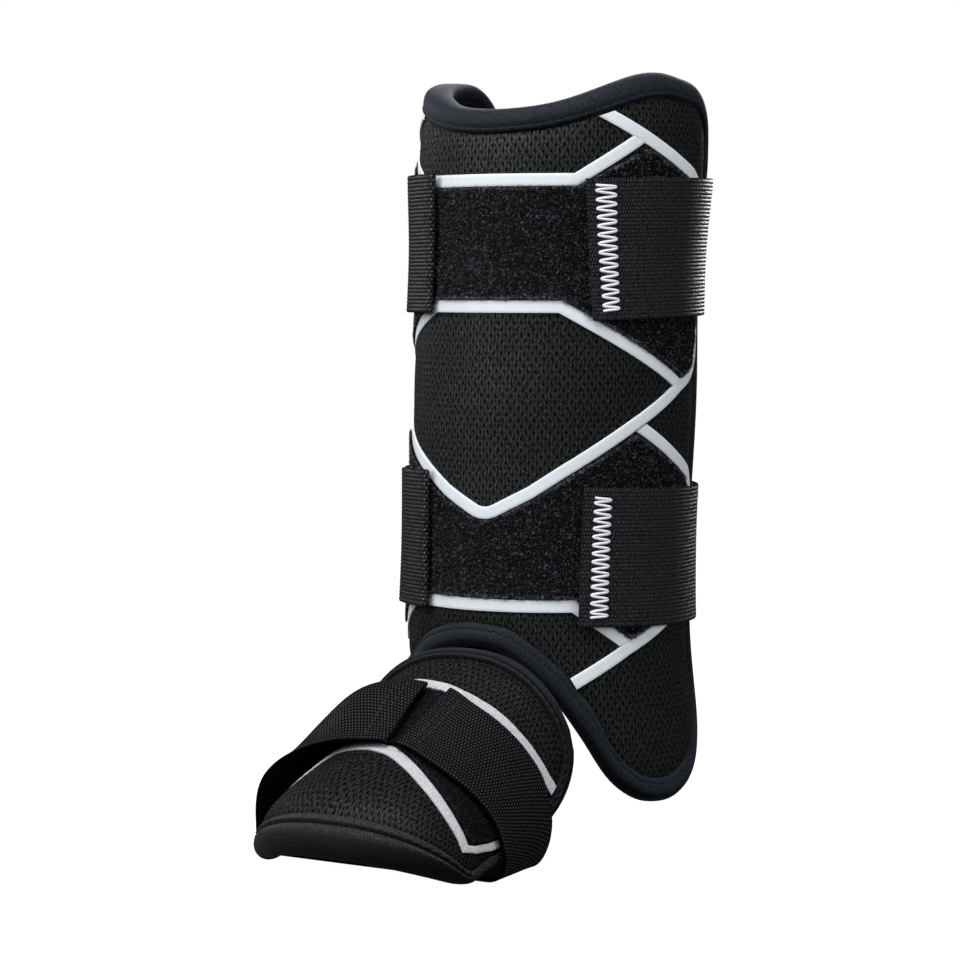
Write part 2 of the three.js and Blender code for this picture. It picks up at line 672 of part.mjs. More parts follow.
// Strip that comes down inside the front of the shin shell and runs on under the foot guard.
function ankleTongue() {
  const inside = -SHIN_WALL - BINDING_PROUD - GAP;
  const under = -FOOT_WALL - GAP;
  const columns = steps(-TONGUE_HALF_ANGLE, TONGUE_HALF_ANGLE, 8);
  const curveAt = (angle, depth) =>
    new THREE.CatmullRomCurve3(
      [
        shinPoint(angle, -42, inside - depth),
        shinPoint(angle, -58, inside - depth),
        shinPoint(angle, shinLimit("bottom", angle, 0) - 3 - depth * 0.6, inside - depth),
        footPoint(0.06, angle, under - 4.5 - depth),
        footPoint(0.22, angle, under - 0.6 - depth),
        footPoint(0.36, angle, under - 0.1 - depth),
      ],
      false,
      "centripetal",
    ).getPoints(15);
  return slab(
    columns.map((angle) => curveAt(angle, 0)).reverse(),
    columns.map((angle) => curveAt(angle, TONGUE_THICK)).reverse(),
  );
}

function shinShell() {
  const inset = BINDING_WIDTH + GAP;
  const layer = (offset) =>
    shinAngles(inset).map((angle) =>
      steps(shinLimit("bottom", angle, inset), shinLimit("top", angle, inset), SHIN_ROWS).map((height) =>
        shinPoint(angle, height, offset),
      ),
    );
  return slab(layer(0), layer(-SHIN_WALL));
}

const guard = new THREE.Group();
guard.name = "leg_guard";

function add(name, shape, color, roughness) {
  const mesh = new THREE.Mesh(shape, new THREE.MeshStandardMaterial({ color, roughness, metalness: 0 }));
  mesh.name = name;
  guard.add(mesh);
}

const MESH_BLACK = 0x232323;
const EDGE_BLACK = 0x1a1c21;
const PILE_BLACK = 0x111113;
const WEBBING_GREY = 0x2c2d30;
const LINE_WHITE = 0xe8ebf0;
const LINE_GREY = 0xcfd1d4;

const shieldUpper = direction(LINE_SHIELD, 1, 2);
const shieldLower = direction(LINE_SHIELD, 2, 3);
const sideUpper = direction(LINE_SIDE_UPPER, 0, 1);
const topEdge = new THREE.Vector2(10 * ARC, shinLimit("top", 50, 0) - shinLimit("top", 40, 0)).normalize();
const sideLower = direction(LINE_SIDE_LOWER, 8, 9);
const lowerOuter = [...LINE_SIDE_LOWER, LINE_SIDE_LOWER_END.outer];
const lowerInner = across([...LINE_SIDE_LOWER, LINE_SIDE_LOWER_END.inner]).reverse();
const upperInner = across([LINE_SIDE_UPPER_INNER_START, ...LINE_SIDE_UPPER.slice(1)]).reverse();
const shieldLoop = [...LINE_SHIELD, ...across(LINE_SHIELD.slice(1, -1)).reverse()];
const shinRim = (share) => shinOutline(share * BINDING_WIDTH);

add("shin_shell", shinShell(), MESH_BLACK, 0.85);
add("shin_binding", rolledEdge(SHIN_WALL, shinRim, shinPoint), EDGE_BLACK, 0.7);
add("loop_panel_upper", pilePanel(PILE_UPPER), PILE_BLACK, 1);
add("loop_panel_lower", pilePanel(PILE_LOWER), PILE_BLACK, 1);
add("trim_top", shinLine(mirrored(LINE_TOP), flip(sideUpper), sideUpper), LINE_WHITE, 0.5);
add("trim_side_upper_outer", shinLine(LINE_SIDE_UPPER, topEdge, shieldUpper), LINE_WHITE, 0.5);
add("trim_side_upper_inner", shinLine(upperInner, flip(shieldUpper), flip(topEdge)), LINE_WHITE, 0.5);
add("trim_shield", closedLine(shieldLoop.map(shinFlat), onShin), LINE_WHITE, 0.5);
add("trim_bottom", shinLine(mirrored(LINE_BOTTOM), flip(sideLower), sideLower), LINE_WHITE, 0.5);
add("trim_side_lower_outer", shinLine(lowerOuter, shieldLower, null), LINE_WHITE, 0.5);
add("trim_side_lower_inner", shinLine(lowerInner, null, flip(shieldLower)), LINE_WHITE, 0.5);
add("strap_upper", calfStrap(STRAP_UPPER, "upper"), WEBBING_GREY, 0.75);
add("strap_lower", calfStrap(STRAP_LOWER, "lower"), WEBBING_GREY, 0.75);
add("foot_shell", slab(footGrid(0), footGrid(-FOOT_WALL)), MESH_BLACK, 0.85);
add("foot_binding", rolledEdge(FOOT_WALL, footOutline, footPoint), EDGE_BLACK, 0.7);
add("foot_loop_panel", footPile(), PILE_BLACK, 1);
add("foot_trim_rear", openLine(FOOT_LINE_REAR.map(footFlat), onFoot, FOOT_TRIM_WIDTH), LINE_GREY, 0.7);
add("foot_trim_front", openLine(FOOT_LINE_FRONT.map(footFlat), onFoot, FOOT_TRIM_WIDTH), LINE_GREY, 0.7);
add("foot_strap", footStrap(), WEBBING_GREY, 0.75);
add("ankle_tongue", ankleTongue(), EDGE_BLACK, 0.8);

export default guard;
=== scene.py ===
# %% [markdown]
# # A batter's leg guard
# The guard is a padded shell for the shin, a smaller one for the instep, and three elastic straps.
# Nearly everything on it is cut flat from cloth and foam and then wrapped round the leg. This lesson
# works in the same order: each piece is cut as a flat grid, and a function wraps it on to the leg.

# %% Load the frame
import math
from functools import partial

import bpy
import numpy as np
from mathutils import Matrix, Vector


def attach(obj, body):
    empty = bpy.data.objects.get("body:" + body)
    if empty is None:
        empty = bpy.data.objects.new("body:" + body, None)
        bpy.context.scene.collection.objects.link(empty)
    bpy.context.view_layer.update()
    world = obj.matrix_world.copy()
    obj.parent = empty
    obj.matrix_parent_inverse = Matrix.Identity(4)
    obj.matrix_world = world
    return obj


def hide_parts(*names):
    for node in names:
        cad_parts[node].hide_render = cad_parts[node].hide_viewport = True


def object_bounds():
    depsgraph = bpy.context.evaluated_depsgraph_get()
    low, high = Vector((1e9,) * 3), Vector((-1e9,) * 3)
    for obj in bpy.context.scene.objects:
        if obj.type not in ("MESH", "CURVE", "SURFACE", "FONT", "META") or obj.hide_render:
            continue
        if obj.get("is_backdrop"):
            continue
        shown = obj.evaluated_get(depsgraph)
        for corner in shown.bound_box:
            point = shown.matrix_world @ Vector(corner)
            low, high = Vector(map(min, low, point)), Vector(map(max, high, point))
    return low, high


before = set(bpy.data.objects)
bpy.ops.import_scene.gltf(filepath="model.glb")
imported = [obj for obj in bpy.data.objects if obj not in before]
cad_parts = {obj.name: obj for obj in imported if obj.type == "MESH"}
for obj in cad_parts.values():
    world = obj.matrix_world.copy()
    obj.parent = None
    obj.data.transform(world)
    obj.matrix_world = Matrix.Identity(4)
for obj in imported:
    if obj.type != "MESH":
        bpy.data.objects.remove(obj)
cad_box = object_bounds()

MM = 0.001
print("solids in the frame:", len(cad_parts))

# %% [markdown]
# ## Camera, floor and light
# The picture was taken from a little above the middle of the guard, from its outer front side, with
# a long lens. A camera is placed by its three axes here, because they can be measured one by one.
# The light is a white room with large soft boxes. Black cloth shows its weave only by what it
# reflects, so one box stands far behind and rakes along the calf straps.

# %% Camera
CAMERA_PLACE = (0.525, -0.9093, 0.058)
CAMERA_LENS = 106.3
scene = bpy.context.scene
heading = math.radians(31.515)
dip = math.radians(4.03)
back = Vector((math.sin(heading) * math.cos(dip), -math.cos(heading) * math.cos(dip), math.sin(dip)))
right = Vector((math.cos(heading), math.sin(heading), 0))
bpy.ops.object.select_all(action="DESELECT")
bpy.ops.object.camera_add()
camera = bpy.context.object
axes = Matrix((right, back.cross(right), back)).transposed().to_4x4()
camera.matrix_world = Matrix.Translation(CAMERA_PLACE) @ axes
camera.data.sensor_width = 36
camera.data.lens = CAMERA_LENS
scene.camera = camera
print("camera at", tuple(round(c, 3) for c in camera.location))

# %% Floor
FLOOR_SIZE = 8
FLOOR_GAP = 0.0006
bpy.ops.mesh.primitive_plane_add(size=FLOOR_SIZE, location=(0, 0, cad_box[0].z - FLOOR_GAP))
floor = bpy.context.object
floor.name = "floor"
paper = bpy.data.materials.new("pale_floor")
paper.use_nodes = True
sheet = paper.node_tree.nodes["Principled BSDF"]
sheet.inputs["Base Color"].default_value = (0.2, 0.2, 0.2, 1)
sheet.inputs["Roughness"].default_value = 1.0
sheet.inputs["Specular IOR Level"].default_value = 0.0
sheet.inputs["Emission Color"].default_value = (1, 1, 1, 1)
sheet.inputs["Emission Strength"].default_value = 0.99
floor.data.materials.append(paper)
floor.visible_diffuse = False
floor.visible_glossy = False
floor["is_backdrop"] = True
print("floor at", round(floor.location.z, 4))

# %% White room
ROOM_LIGHT = 0.1
room = bpy.data.worlds.new("white_room")
room.use_nodes = True
scene.world = room
room_nodes = room.node_tree.nodes
room_links = room.node_tree.links
seen = room_nodes.new("ShaderNodeLightPath")
level = room_nodes.new("ShaderNodeMapRange")
level.inputs["To Min"].default_value = ROOM_LIGHT
level.inputs["To Max"].default_value = 1.0
room_links.new(seen.outputs["Is Camera Ray"], level.inputs["Value"])
room_links.new(level.outputs["Result"], room_nodes["Background"].inputs["Strength"])
room_nodes["Background"].inputs["Color"].default_value = (1, 1, 1, 1)
scene.view_settings.view_transform = "Standard"
print("room light:", ROOM_LIGHT)

# %% Soft boxes
SOFT_BOXES = (
    # name, place, aim, size, watts
    ("key_box", (-0.75, -1.15, 0.6), (0, 0, 0.02), 0.8, 12.5),
    ("top_box", (0.05, -0.8, 1.15), (0, 0, 0), 0.9, 23),
    ("back_box", (0.02, 1.4, 0.26), (0, 0, 0.02), 0.4, 10.5),
    ("rear_box", (-0.5, 1.2, 0.45), (0, 0, 0), 0.9, 12),
    ("inner_box", (-1.2, 0.15, 0.4), (0, 0, 0), 0.6, 2.5),
    ("outer_box", (1.15, -0.2, 0.35), (0, 0, 0), 0.8, 8),
)
for name, place, aim, size, watts in SOFT_BOXES:
    bpy.ops.object.light_add(type="AREA", location=place)
    lamp = bpy.context.object
    lamp.name = name
    lamp.data.size = size
    lamp.data.energy = watts
    lamp.visible_camera = False
    lamp.rotation_euler = (Vector(aim) - Vector(place)).to_track_quat("-Z", "Y").to_euler()
bpy.data.objects["outer_box"].visible_glossy = False
print("soft boxes:", len(SOFT_BOXES))

# %% [markdown]
# ## The leg as a pattern
# A sewing pattern is flat, and the leg is not. Two functions join them: on_shin takes an angle round
# the leg, a height and a distance out from the shell, and on_foot does the same over the instep.
# Both read short tables of sizes with a smooth curve, the same ones that shape the solids.

# %% Smooth curves through a table
def read_curve(rows, x, column):
    """The value of one column at x, on a smooth curve through the rows of a table."""
    table = np.asarray(rows, float)
    xs, ys = table[:, 0], table[:, column]
    span = np.diff(xs)
    slope = np.diff(ys) / span
    middle = (slope[:-1] * span[1:] + slope[1:] * span[:-1]) / (span[:-1] + span[1:])
    tangent = np.concatenate([slope[:1], middle, slope[-1:]])
    x = np.clip(x, xs[0], xs[-1])
    i = np.clip(np.searchsorted(xs, x) - 1, 0, len(span) - 1)
    t = (x - xs[i]) / span[i]
    start = (1 + 2 * t) * (1 - t) ** 2 * ys[i] + t * (1 - t) ** 2 * span[i] * tangent[i]
    return start + t * t * (3 - 2 * t) * ys[i + 1] + t * t * (t - 1) * span[i] * tangent[i + 1]


def corner_drop(distance, radius):
    """How far a rounded corner falls short of a square one, at a distance from its side."""
    gone = radius - np.clip(distance, 0, radius)
    return radius - np.sqrt(np.maximum(radius**2 - gone**2, 0))


print("a corner of radius 10 drops at its side by", corner_drop(0, 10))

# %% The shin surface
SHIN_EDGE = 122.0
SHIN_CORNERS = {"top": 26, "flap": 38, "inner": 24}
ARC = math.radians(52)  # millimetres of cloth for each degree round the leg
SHIN_SECTIONS = (
    # height, centre x, centre y, radius
    (-132, 1.2, 0.5, 54.4),
    (-105, -0.3, -0.5, 53.3),
    (-75, -1.9, -1.1, 52.0),
    (-40, -1.6, -0.8, 51.0),
    (14, -0.3, 0.0, 51.8),
    (68, 1.2, 0.7, 51.0),
    (105, 2.4, 1.4, 52.6),
    (118, 2.8, 1.6, 52.0),
    (133, 3.2, 1.8, 49.4),
)
SHIN_EDGES = (
    # angle, top, bottom
    (-122, 131.0, -92.0),
    (-85, 131.5, -93.0),
    (-60, 129.5, -91.5),
    (-40, 124.8, -86.0),
    (-22, 120.3, -77.0),
    (0, 118.5, -73.0),
    (12, 118.9, -75.4),
    (22, 120.0, -82.2),
    (32, 122.1, -92.0),
    (42, 125.0, -105.2),
    (52, 128.0, -119.4),
    (62, 130.5, -126.8),
    (75, 131.8, -129.6),
    (90, 130.4, -127.8),
    (122, 128.0, -121.0),
)


def on_shin(angle, height, offset):
    angle, height, offset = np.broadcast_arrays(angle, height, offset)
    turn = np.radians(angle)
    radius = read_curve(SHIN_SECTIONS, height, 3) + offset
    x = read_curve(SHIN_SECTIONS, height, 1) + radius * np.sin(turn)
    y = read_curve(SHIN_SECTIONS, height, 2) - radius * np.cos(turn)
    return np.stack([x, y, height], -1) * MM


print("front of the shin at mid height:", on_shin(0, 0, 0).round(4))

# %% Edges of the shin shell
def shin_limit(side, angle, inset):
    column = 1 if side == "top" else 2
    rise = read_curve(SHIN_EDGES, angle + 0.5, column) - read_curve(SHIN_EDGES, angle - 0.5, column)
    distance = (SHIN_EDGE - np.abs(angle)) * ARC - inset
    low = np.where(angle > 0, SHIN_CORNERS["flap"], SHIN_CORNERS["inner"])
    corner = SHIN_CORNERS["top"] if side == "top" else low
    drop = inset * np.hypot(1, rise / ARC) + corner_drop(distance, corner - inset)
    return read_curve(SHIN_EDGES, angle, column) + (-drop if side == "top" else drop)


def shin_angles(count, inset):
    even = np.linspace(-1, 1, count + 1)
    return (SHIN_EDGE - inset / ARC) * (0.6 * even + 0.4 * np.sin(even * math.pi / 2))


print("top and bottom at the front:", shin_limit("top", 0.0, 0), shin_limit("bottom", 0.0, 0))

# %% [markdown]
# The instep is an arch that gets lower and longer to the toe. Each row of its table gives the place
# of the ridge and of the side at one share of the length, and a curve across joins them. The edge of
# the guard is a reach across that arch, with its corners rounded off.

# %% The foot surface
FOOT_LENGTH = 92.0
FOOT_ARC = 0.76  # millimetres of cloth for each degree across the arch
FOOT_FULLNESS = 0.86
FOOT_SECTIONS = (
    # along, ridge y, ridge z, half width, side y, side z
    (0, -60.5, -70.8, 49, -64, -122),
    (0.22, -80, -82.5, 43.2, -80, -129),
    (0.5, -107, -98, 43, -101, -134.5),
    (0.85, -145, -115.5, 43, -123.5, -139),
    (1, -154, -129.4, 41, -128, -142),
)


def foot_surface(along, across):
    ridge_y, ridge_z, half, side_y, side_z = (read_curve(FOOT_SECTIONS, along, c) for c in range(1, 6))
    side = np.sin(np.radians(across))
    rise = np.cos(np.radians(across))
    x = half * np.sign(side) * np.abs(side) ** FOOT_FULLNESS
    return np.stack([x, side_y + (ridge_y - side_y) * rise, side_z + (ridge_z - side_z) * rise], -1)


def on_foot(along, across, offset):
    along, across, offset = np.broadcast_arrays(along, across, offset)
    forward = foot_surface(np.minimum(along + 0.004, 1), across)
    forward = forward - foot_surface(np.maximum(along - 0.004, 0), across)
    sideways = foot_surface(along, across + 1) - foot_surface(along, across - 1)
    normal = np.cross(forward, sideways)
    normal = normal / np.linalg.norm(normal, axis=-1, keepdims=True)
    return (foot_surface(along, across) + normal * offset[..., None]) * MM


print("top of the instep:", on_foot(0.4, 0, 0).round(4))

# %% Reach and rows of the foot guard
FOOT_BANDS = {"ankle": 0.065, "toe": 0.12, "side": 7}
FOOT_CORNERS = {"ankle": 22, "toe": 8}
CORNER_TRIM = 0.6


def foot_reach(along, share):
    start = share * FOOT_BANDS["ankle"]
    end = 1 - share * FOOT_BANDS["toe"]
    trimmed = share * FOOT_BANDS["side"] * FOOT_ARC * CORNER_TRIM
    ankle = corner_drop((along - start) * FOOT_LENGTH, FOOT_CORNERS["ankle"] - trimmed)
    toe = corner_drop((end - along) * FOOT_LENGTH, FOOT_CORNERS["toe"] - trimmed)
    return 90 - share * FOOT_BANDS["side"] - (ankle + toe) / FOOT_ARC


def foot_alongs(count, share):
    t = np.linspace(0, 1, count + 1)
    start = share * FOOT_BANDS["ankle"]
    return start + (1 - share * FOOT_BANDS["toe"] - start) * (t * t * (3 - 2 * t) + t) / 2


print("reach at mid length, degrees:", round(float(foot_reach(0.5, 0)), 1))

# %% [markdown]
# ## A small sewing kit
# Four helpers are enough for the whole guard. cut adds a flat grid, put moves its points, loft wraps
# a grid through rings of points, as a sleeve is pulled over rods, and dress hands a finished piece
# its cloth, hangs it on the root and hides the solid it stands in for. The flat size is kept as the UV
# map, in metres, so that a weave runs with the cloth and keeps its scale.

# %% Cut a flat grid and move its points
def points(piece):
    flat = np.empty(len(piece.data.vertices) * 3, np.float32)
    piece.data.vertices.foreach_get("co", flat)
    return flat.reshape(-1, 3).astype(float)


def put(piece, places):
    piece.data.vertices.foreach_set("co", np.asarray(places, np.float32).ravel())
    piece.data.update()


def cut(name, columns, rows):
    """A flat grid, with the column and the row in which each of its points stands."""
    bpy.ops.object.select_all(action="DESELECT")
    bpy.ops.mesh.primitive_grid_add(x_subdivisions=columns, y_subdivisions=rows, size=1)
    piece = bpy.context.object
    piece.name = piece.data.name = name
    flat = points(piece)
    column = np.rint((flat[:, 0] + 0.5) * columns).astype(int)
    row = np.rint((flat[:, 1] + 0.5) * rows).astype(int)
    return piece, column, row


def pattern_uv(piece, u, v):
    corners = np.empty(len(piece.data.loops), np.int32)
    piece.data.loops.foreach_get("vertex_index", corners)
    flat = np.stack([u[corners], v[corners]], -1).astype(np.float32)
    piece.data.uv_layers.active.data.foreach_set("uv", flat.ravel())


# %% Sew up and loft
def sew_up(piece, fill=True, angle=40):
    bpy.context.view_layer.objects.active = piece
    bpy.ops.object.mode_set(mode="EDIT")
    bpy.ops.mesh.select_all(action="SELECT")
    bpy.ops.mesh.remove_doubles(threshold=1e-6)
    if fill:
        bpy.ops.mesh.fill_holes(sides=0)
    bpy.ops.mesh.select_all(action="SELECT")
    bpy.ops.mesh.normals_make_consistent(inside=False)
    bpy.ops.object.mode_set(mode="OBJECT")
    bpy.ops.object.shade_smooth_by_angle(angle=math.radians(angle))


def loft(name, rings, closed=False, angle=40, across=None):
    count, around = rings.shape[:2]
    columns = count if closed else count - 1
    piece, i, k = cut(name, columns, around)
    put(piece, rings[i % count, k % around])
    centre = rings.mean(1)
    run = np.linalg.norm(np.roll(centre, -1, 0) - centre, axis=1)
    along = np.concatenate([[0], np.cumsum(run)])
    if across is None:
        across = np.cumsum(np.linalg.norm(rings - np.roll(rings, 1, 1), axis=2).mean(0))
    pattern_uv(piece, along[i], np.append(across, across[-1])[k])
    sew_up(piece, fill=not closed, angle=angle)
    return piece


# %% Dress a finished piece
dressed = []


def dress(piece, nodes, slot, *cloths):
    dressed.append(piece)
    piece.data.materials.clear()
    for cloth in cloths:
        piece.data.materials.append(cloth)
    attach(piece, "root")
    if nodes:
        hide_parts(*nodes)
    print(piece.name, "faces:", len(piece.data.polygons))


# %% [markdown]
# ## Cloth as node groups
# Every finish here is a weave of some kind, so three small groups do most of the work. Open Cells is
# a mesh with small staggered holes, Rib Weave is elastic webbing, and Fleck is the uneven tone that
# keeps black cloth from looking like plastic. They read the flat UV map in metres, so a width of
# 0.0029 is a hole every 2.9 millimetres.

# %% Node helpers
def math_node(tree, operation, first, second=None):
    node = tree.nodes.new("ShaderNodeMath")
    node.operation = operation
    for socket, value in zip(node.inputs, (first, second)):
        if value is None:
            continue
        if isinstance(value, (int, float)):
            socket.default_value = value
        else:
            tree.links.new(value, socket)
    return node.outputs[0]


def ranged(tree, value, first, last, low, high):
    node = tree.nodes.new("ShaderNodeMapRange")
    node.interpolation_type = "SMOOTHSTEP"
    for label, number in (("From Min", first), ("From Max", last), ("To Min", low), ("To Max", high)):
        node.inputs[label].default_value = number
    tree.links.new(value, node.inputs["Value"])
    return node.outputs["Result"]


def start_group(name, inputs, outputs):
    tree = bpy.data.node_groups.new(name, "ShaderNodeTree")
    tree.interface.new_socket("Vector", in_out="INPUT", socket_type="NodeSocketVector")
    for label, value in inputs:
        socket = tree.interface.new_socket(label, in_out="INPUT", socket_type="NodeSocketFloat")
        socket.default_value = value
    for label in outputs:
        tree.interface.new_socket(label, in_out="OUTPUT", socket_type="NodeSocketFloat")
    print("group:", name)
    return tree, tree.nodes.new("NodeGroupInput").outputs, tree.nodes.new("NodeGroupOutput").inputs


# %% Fleck: slow and fast unevenness
fleck, given, result = start_group("Fleck", [("Scale", 300.0)], ["Fleck"])
grain = fleck.nodes.new("ShaderNodeTexNoise")
grain.inputs["Detail"].default_value = 3.0
fleck.links.new(given["Vector"], grain.inputs["Vector"])
fleck.links.new(given["Scale"], grain.inputs["Scale"])
fleck.links.new(grain.outputs["Fac"], result["Fleck"])

# %% Open Cells: what the knit reads
CELL_INPUTS = [("Width", 0.0029), ("Length", 0.0043), ("Wale", 0.4)]
cells, given, result = start_group("Open Cells", CELL_INPUTS, ["Height", "Strand"])
split = cells.nodes.new("ShaderNodeSeparateXYZ")
sway = cells.nodes.new("ShaderNodeTexNoise")
sway.inputs["Scale"].default_value = 420.0
lint = cells.nodes.new("ShaderNodeTexNoise")
lint.inputs["Scale"].default_value = 2000.0
drawn = cells.nodes.new("ShaderNodeVectorMath")
drawn.operation = "MULTIPLY"
drawn.inputs[1].default_value = (1.0, 0.4, 1.0)
for node in (split, sway, drawn):
    cells.links.new(given["Vector"], node.inputs[0])
cells.links.new(drawn.outputs[0], lint.inputs["Vector"])

# %% [markdown]
# The product of two cosines is high in spots that stand in staggered rows, and those spots are the
# holes. A slow noise makes the rows sway, and a fine one frays the rim of each hole. Between the
# holes run the wales, the upright ridges of the knit. They raise the bump, and their lighter colour is
# painted highlight along each strand.

# %% Open Cells: holes, wales and strands
FULL_TURN = 2 * math.pi
calc = partial(math_node, cells)
rows = calc("MULTIPLY", calc("DIVIDE", split.outputs["Y"], given["Length"]), FULL_TURN)
lean = calc("MULTIPLY", calc("SUBTRACT", sway.outputs["Fac"], 0.5), 1.8)
wavy = calc("ADD", lean, calc("MULTIPLY", calc("SINE", rows), 0.4))
turns = calc("MULTIPLY", calc("DIVIDE", split.outputs["X"], given["Width"]), FULL_TURN)
turns = calc("ADD", turns, wavy)
hole = calc("MULTIPLY", calc("COSINE", turns), calc("COSINE", rows))
fuzz = calc("MULTIPLY", calc("SUBTRACT", lint.outputs["Fac"], 0.5), 1.6)
solid = ranged(cells, calc("ADD", hole, fuzz), 1.05, 0.2, 0.0, 1.0)
# The wales lift the bump, and through Strand they also lighten the colour as painted highlight.
ridge = calc("COSINE", calc("MULTIPLY", turns, 2.0))
between = calc("ADD", calc("MULTIPLY", ridge, -0.5), 0.5)
wale_relief_and_highlight = calc("ADD", calc("MULTIPLY", calc("SUBTRACT", between, 1.0), given["Wale"]), 1.0)
shine = ranged(cells, lint.outputs["Fac"], 0.38, 0.66, 0.2, 1.0)
height = calc("MULTIPLY", solid, wale_relief_and_highlight)
cells.links.new(height, result["Height"])
cells.links.new(calc("MULTIPLY", height, shine), result["Strand"])
print("nodes in the mesh group:", len(cells.nodes))

# %% Rib Weave: fine cross threads over the ribs of elastic webbing
RIB_INPUTS = [("Rib", 0.0014), ("Thread", 0.0009), ("Slub", 0.5), ("Groove", 0.4)]
webbing, given, result = start_group("Rib Weave", RIB_INPUTS, ["Height", "Crest"])
calc = partial(math_node, webbing)
split = webbing.nodes.new("ShaderNodeSeparateXYZ")
slub = webbing.nodes.new("ShaderNodeTexNoise")
slub.inputs["Scale"].default_value = 900.0
for node in (split, slub):
    webbing.links.new(given["Vector"], node.inputs["Vector"])
stray = calc("MULTIPLY", calc("SUBTRACT", slub.outputs["Fac"], 0.5), given["Slub"])
ribs = calc("DIVIDE", split.outputs["Y"], given["Rib"])
ribs = calc("ADD", ribs, calc("MULTIPLY", stray, 0.4))
threads = calc("ADD", calc("DIVIDE", split.outputs["X"], given["Thread"]), stray)
step = calc("MULTIPLY", calc("FLOOR", ribs), 0.5)
beat = calc("COSINE", calc("MULTIPLY", calc("ADD", threads, step), FULL_TURN))
knots = calc("ADD", calc("MULTIPLY", beat, 0.45), 0.55)
crest = calc("ABSOLUTE", calc("SINE", calc("MULTIPLY", ribs, math.pi)))
valley = calc("MULTIPLY", calc("SUBTRACT", 1.0, crest), given["Groove"])
height = calc("MULTIPLY", calc("SUBTRACT", 1.0, valley), knots)
webbing.links.new(height, result["Height"])
webbing.links.new(crest, result["Crest"])
print("nodes in the webbing group:", len(webbing.nodes))

# %% [markdown]
# ## The finishes
# Each cloth is one Principled shader. Fabric has almost no mirror shine of its own, so the specular
# level is low. On the mesh and the webbing it is nothing at all, and a rough coat, masked by the
# weave, gives the shine to the raised threads alone. One function makes the part that all finishes
# share, and each finish then adds its own weave, colours and bump.

# %% Start a finish
def start_finish(name, roughness, specular, sheen, tint=(1, 1, 1, 1)):
    finish = bpy.data.materials.new(name)
    finish.use_nodes = True
    shader = finish.node_tree.nodes["Principled BSDF"]
    shader.inputs["Roughness"].default_value = roughness
    shader.inputs["Specular IOR Level"].default_value = specular
    shader.inputs["Sheen Weight"].default_value = sheen
    shader.inputs["Sheen Roughness"].default_value = 0.45
    shader.inputs["Sheen Tint"].default_value = tint
    where = finish.node_tree.nodes.new("ShaderNodeTexCoord")
    print("finish:", name)
    return finish, finish.node_tree, shader, where


def place_group(tree, group, vector, **values):
    node = tree.nodes.new("ShaderNodeGroup")
    node.node_tree = group
    tree.links.new(vector, node.inputs["Vector"])
    for label, value in values.items():
        node.inputs[label].default_value = value
    return node.outputs


# %% Colours and relief from a mask
def two_tone(tree, mask, low, high, first=0.0, last=1.0):
    ramp = tree.nodes.new("ShaderNodeValToRGB")
    ramp.color_ramp.elements[0].position = first
    ramp.color_ramp.elements[1].position = last
    ramp.color_ramp.elements[0].color = (*low, 1)
    ramp.color_ramp.elements[1].color = (*high, 1)
    tree.links.new(mask, ramp.inputs["Fac"])
    return ramp.outputs["Color"]


def toned(tree, colour, mask, low, high):
    vary = tree.nodes.new("ShaderNodeMapRange")
    vary.inputs["To Min"].default_value = low
    vary.inputs["To Max"].default_value = high
    tree.links.new(mask, vary.inputs["Value"])
    scale = tree.nodes.new("ShaderNodeVectorMath")
    scale.operation = "SCALE"
    tree.links.new(colour, scale.inputs[0])
    tree.links.new(vary.outputs["Result"], scale.inputs["Scale"])
    return scale.outputs["Vector"]


def relief(tree, shader, height, depth):
    bump = tree.nodes.new("ShaderNodeBump")
    bump.inputs["Distance"].default_value = depth
    bump.inputs["Strength"].default_value = 1.0
    tree.links.new(height, bump.inputs["Height"])
    tree.links.new(bump.outputs["Normal"], shader.inputs["Normal"])


# %% Mesh cover of the shin and of the foot
def mesh_finish(name, width, length, wale_relief_and_highlight, gap, strand, depth, shine):
    finish, tree, shader, where = start_finish(name, 0.58, 0.0, 0.0)
    knit = place_group(tree, cells, where.outputs["UV"], Width=width, Length=length, Wale=wale_relief_and_highlight)
    tone = place_group(tree, fleck, where.outputs["UV"], Scale=250.0)
    # Strand colour: the holes, plus painted highlight on the wales.
    colour = two_tone(tree, knit["Strand"], gap, strand)
    tree.links.new(toned(tree, colour, tone["Fleck"], 0.7, 1.3), shader.inputs["Base Color"])
    shader.inputs["Coat Roughness"].default_value = 0.58
    tree.links.new(math_node(tree, "MULTIPLY", knit["Strand"], shine), shader.inputs["Coat Weight"])
    relief(tree, shader, knit["Height"], depth)
    return finish


shin_mesh = mesh_finish(
    "shin_mesh",
    width=0.0029,
    length=0.0043,
    wale_relief_and_highlight=0.45,
    gap=(0.0018, 0.0018, 0.002),
    strand=(0.02, 0.0215, 0.0225),
    depth=0.0004,
    shine=1.0,
)
foot_mesh = mesh_finish(
    "foot_mesh",
    width=0.0022,
    length=0.0042,
    wale_relief_and_highlight=0.2,
    gap=(0.001, 0.001, 0.001),
    strand=(0.015, 0.015, 0.015),
    depth=0.0005,
    shine=0.56,
)

# %% [markdown]
# The rolled edges carry painted shade: their colour is pale where the knit faces up and nearly black
# where it faces down, as if lit from above. The object normal tells the finish which way the cloth
# faces, and a small shift with height paints the ankle end darker than the top.

# %% Knit-faced edges and lining
COOL_GROUND = (0.003, 0.0036, 0.0052)
COOL_TINT = (0.72, 0.8, 1, 1)
PLAIN_GROUND = (0.004, 0.004, 0.0042)
PLAIN_TINT = (1, 1, 1, 1)


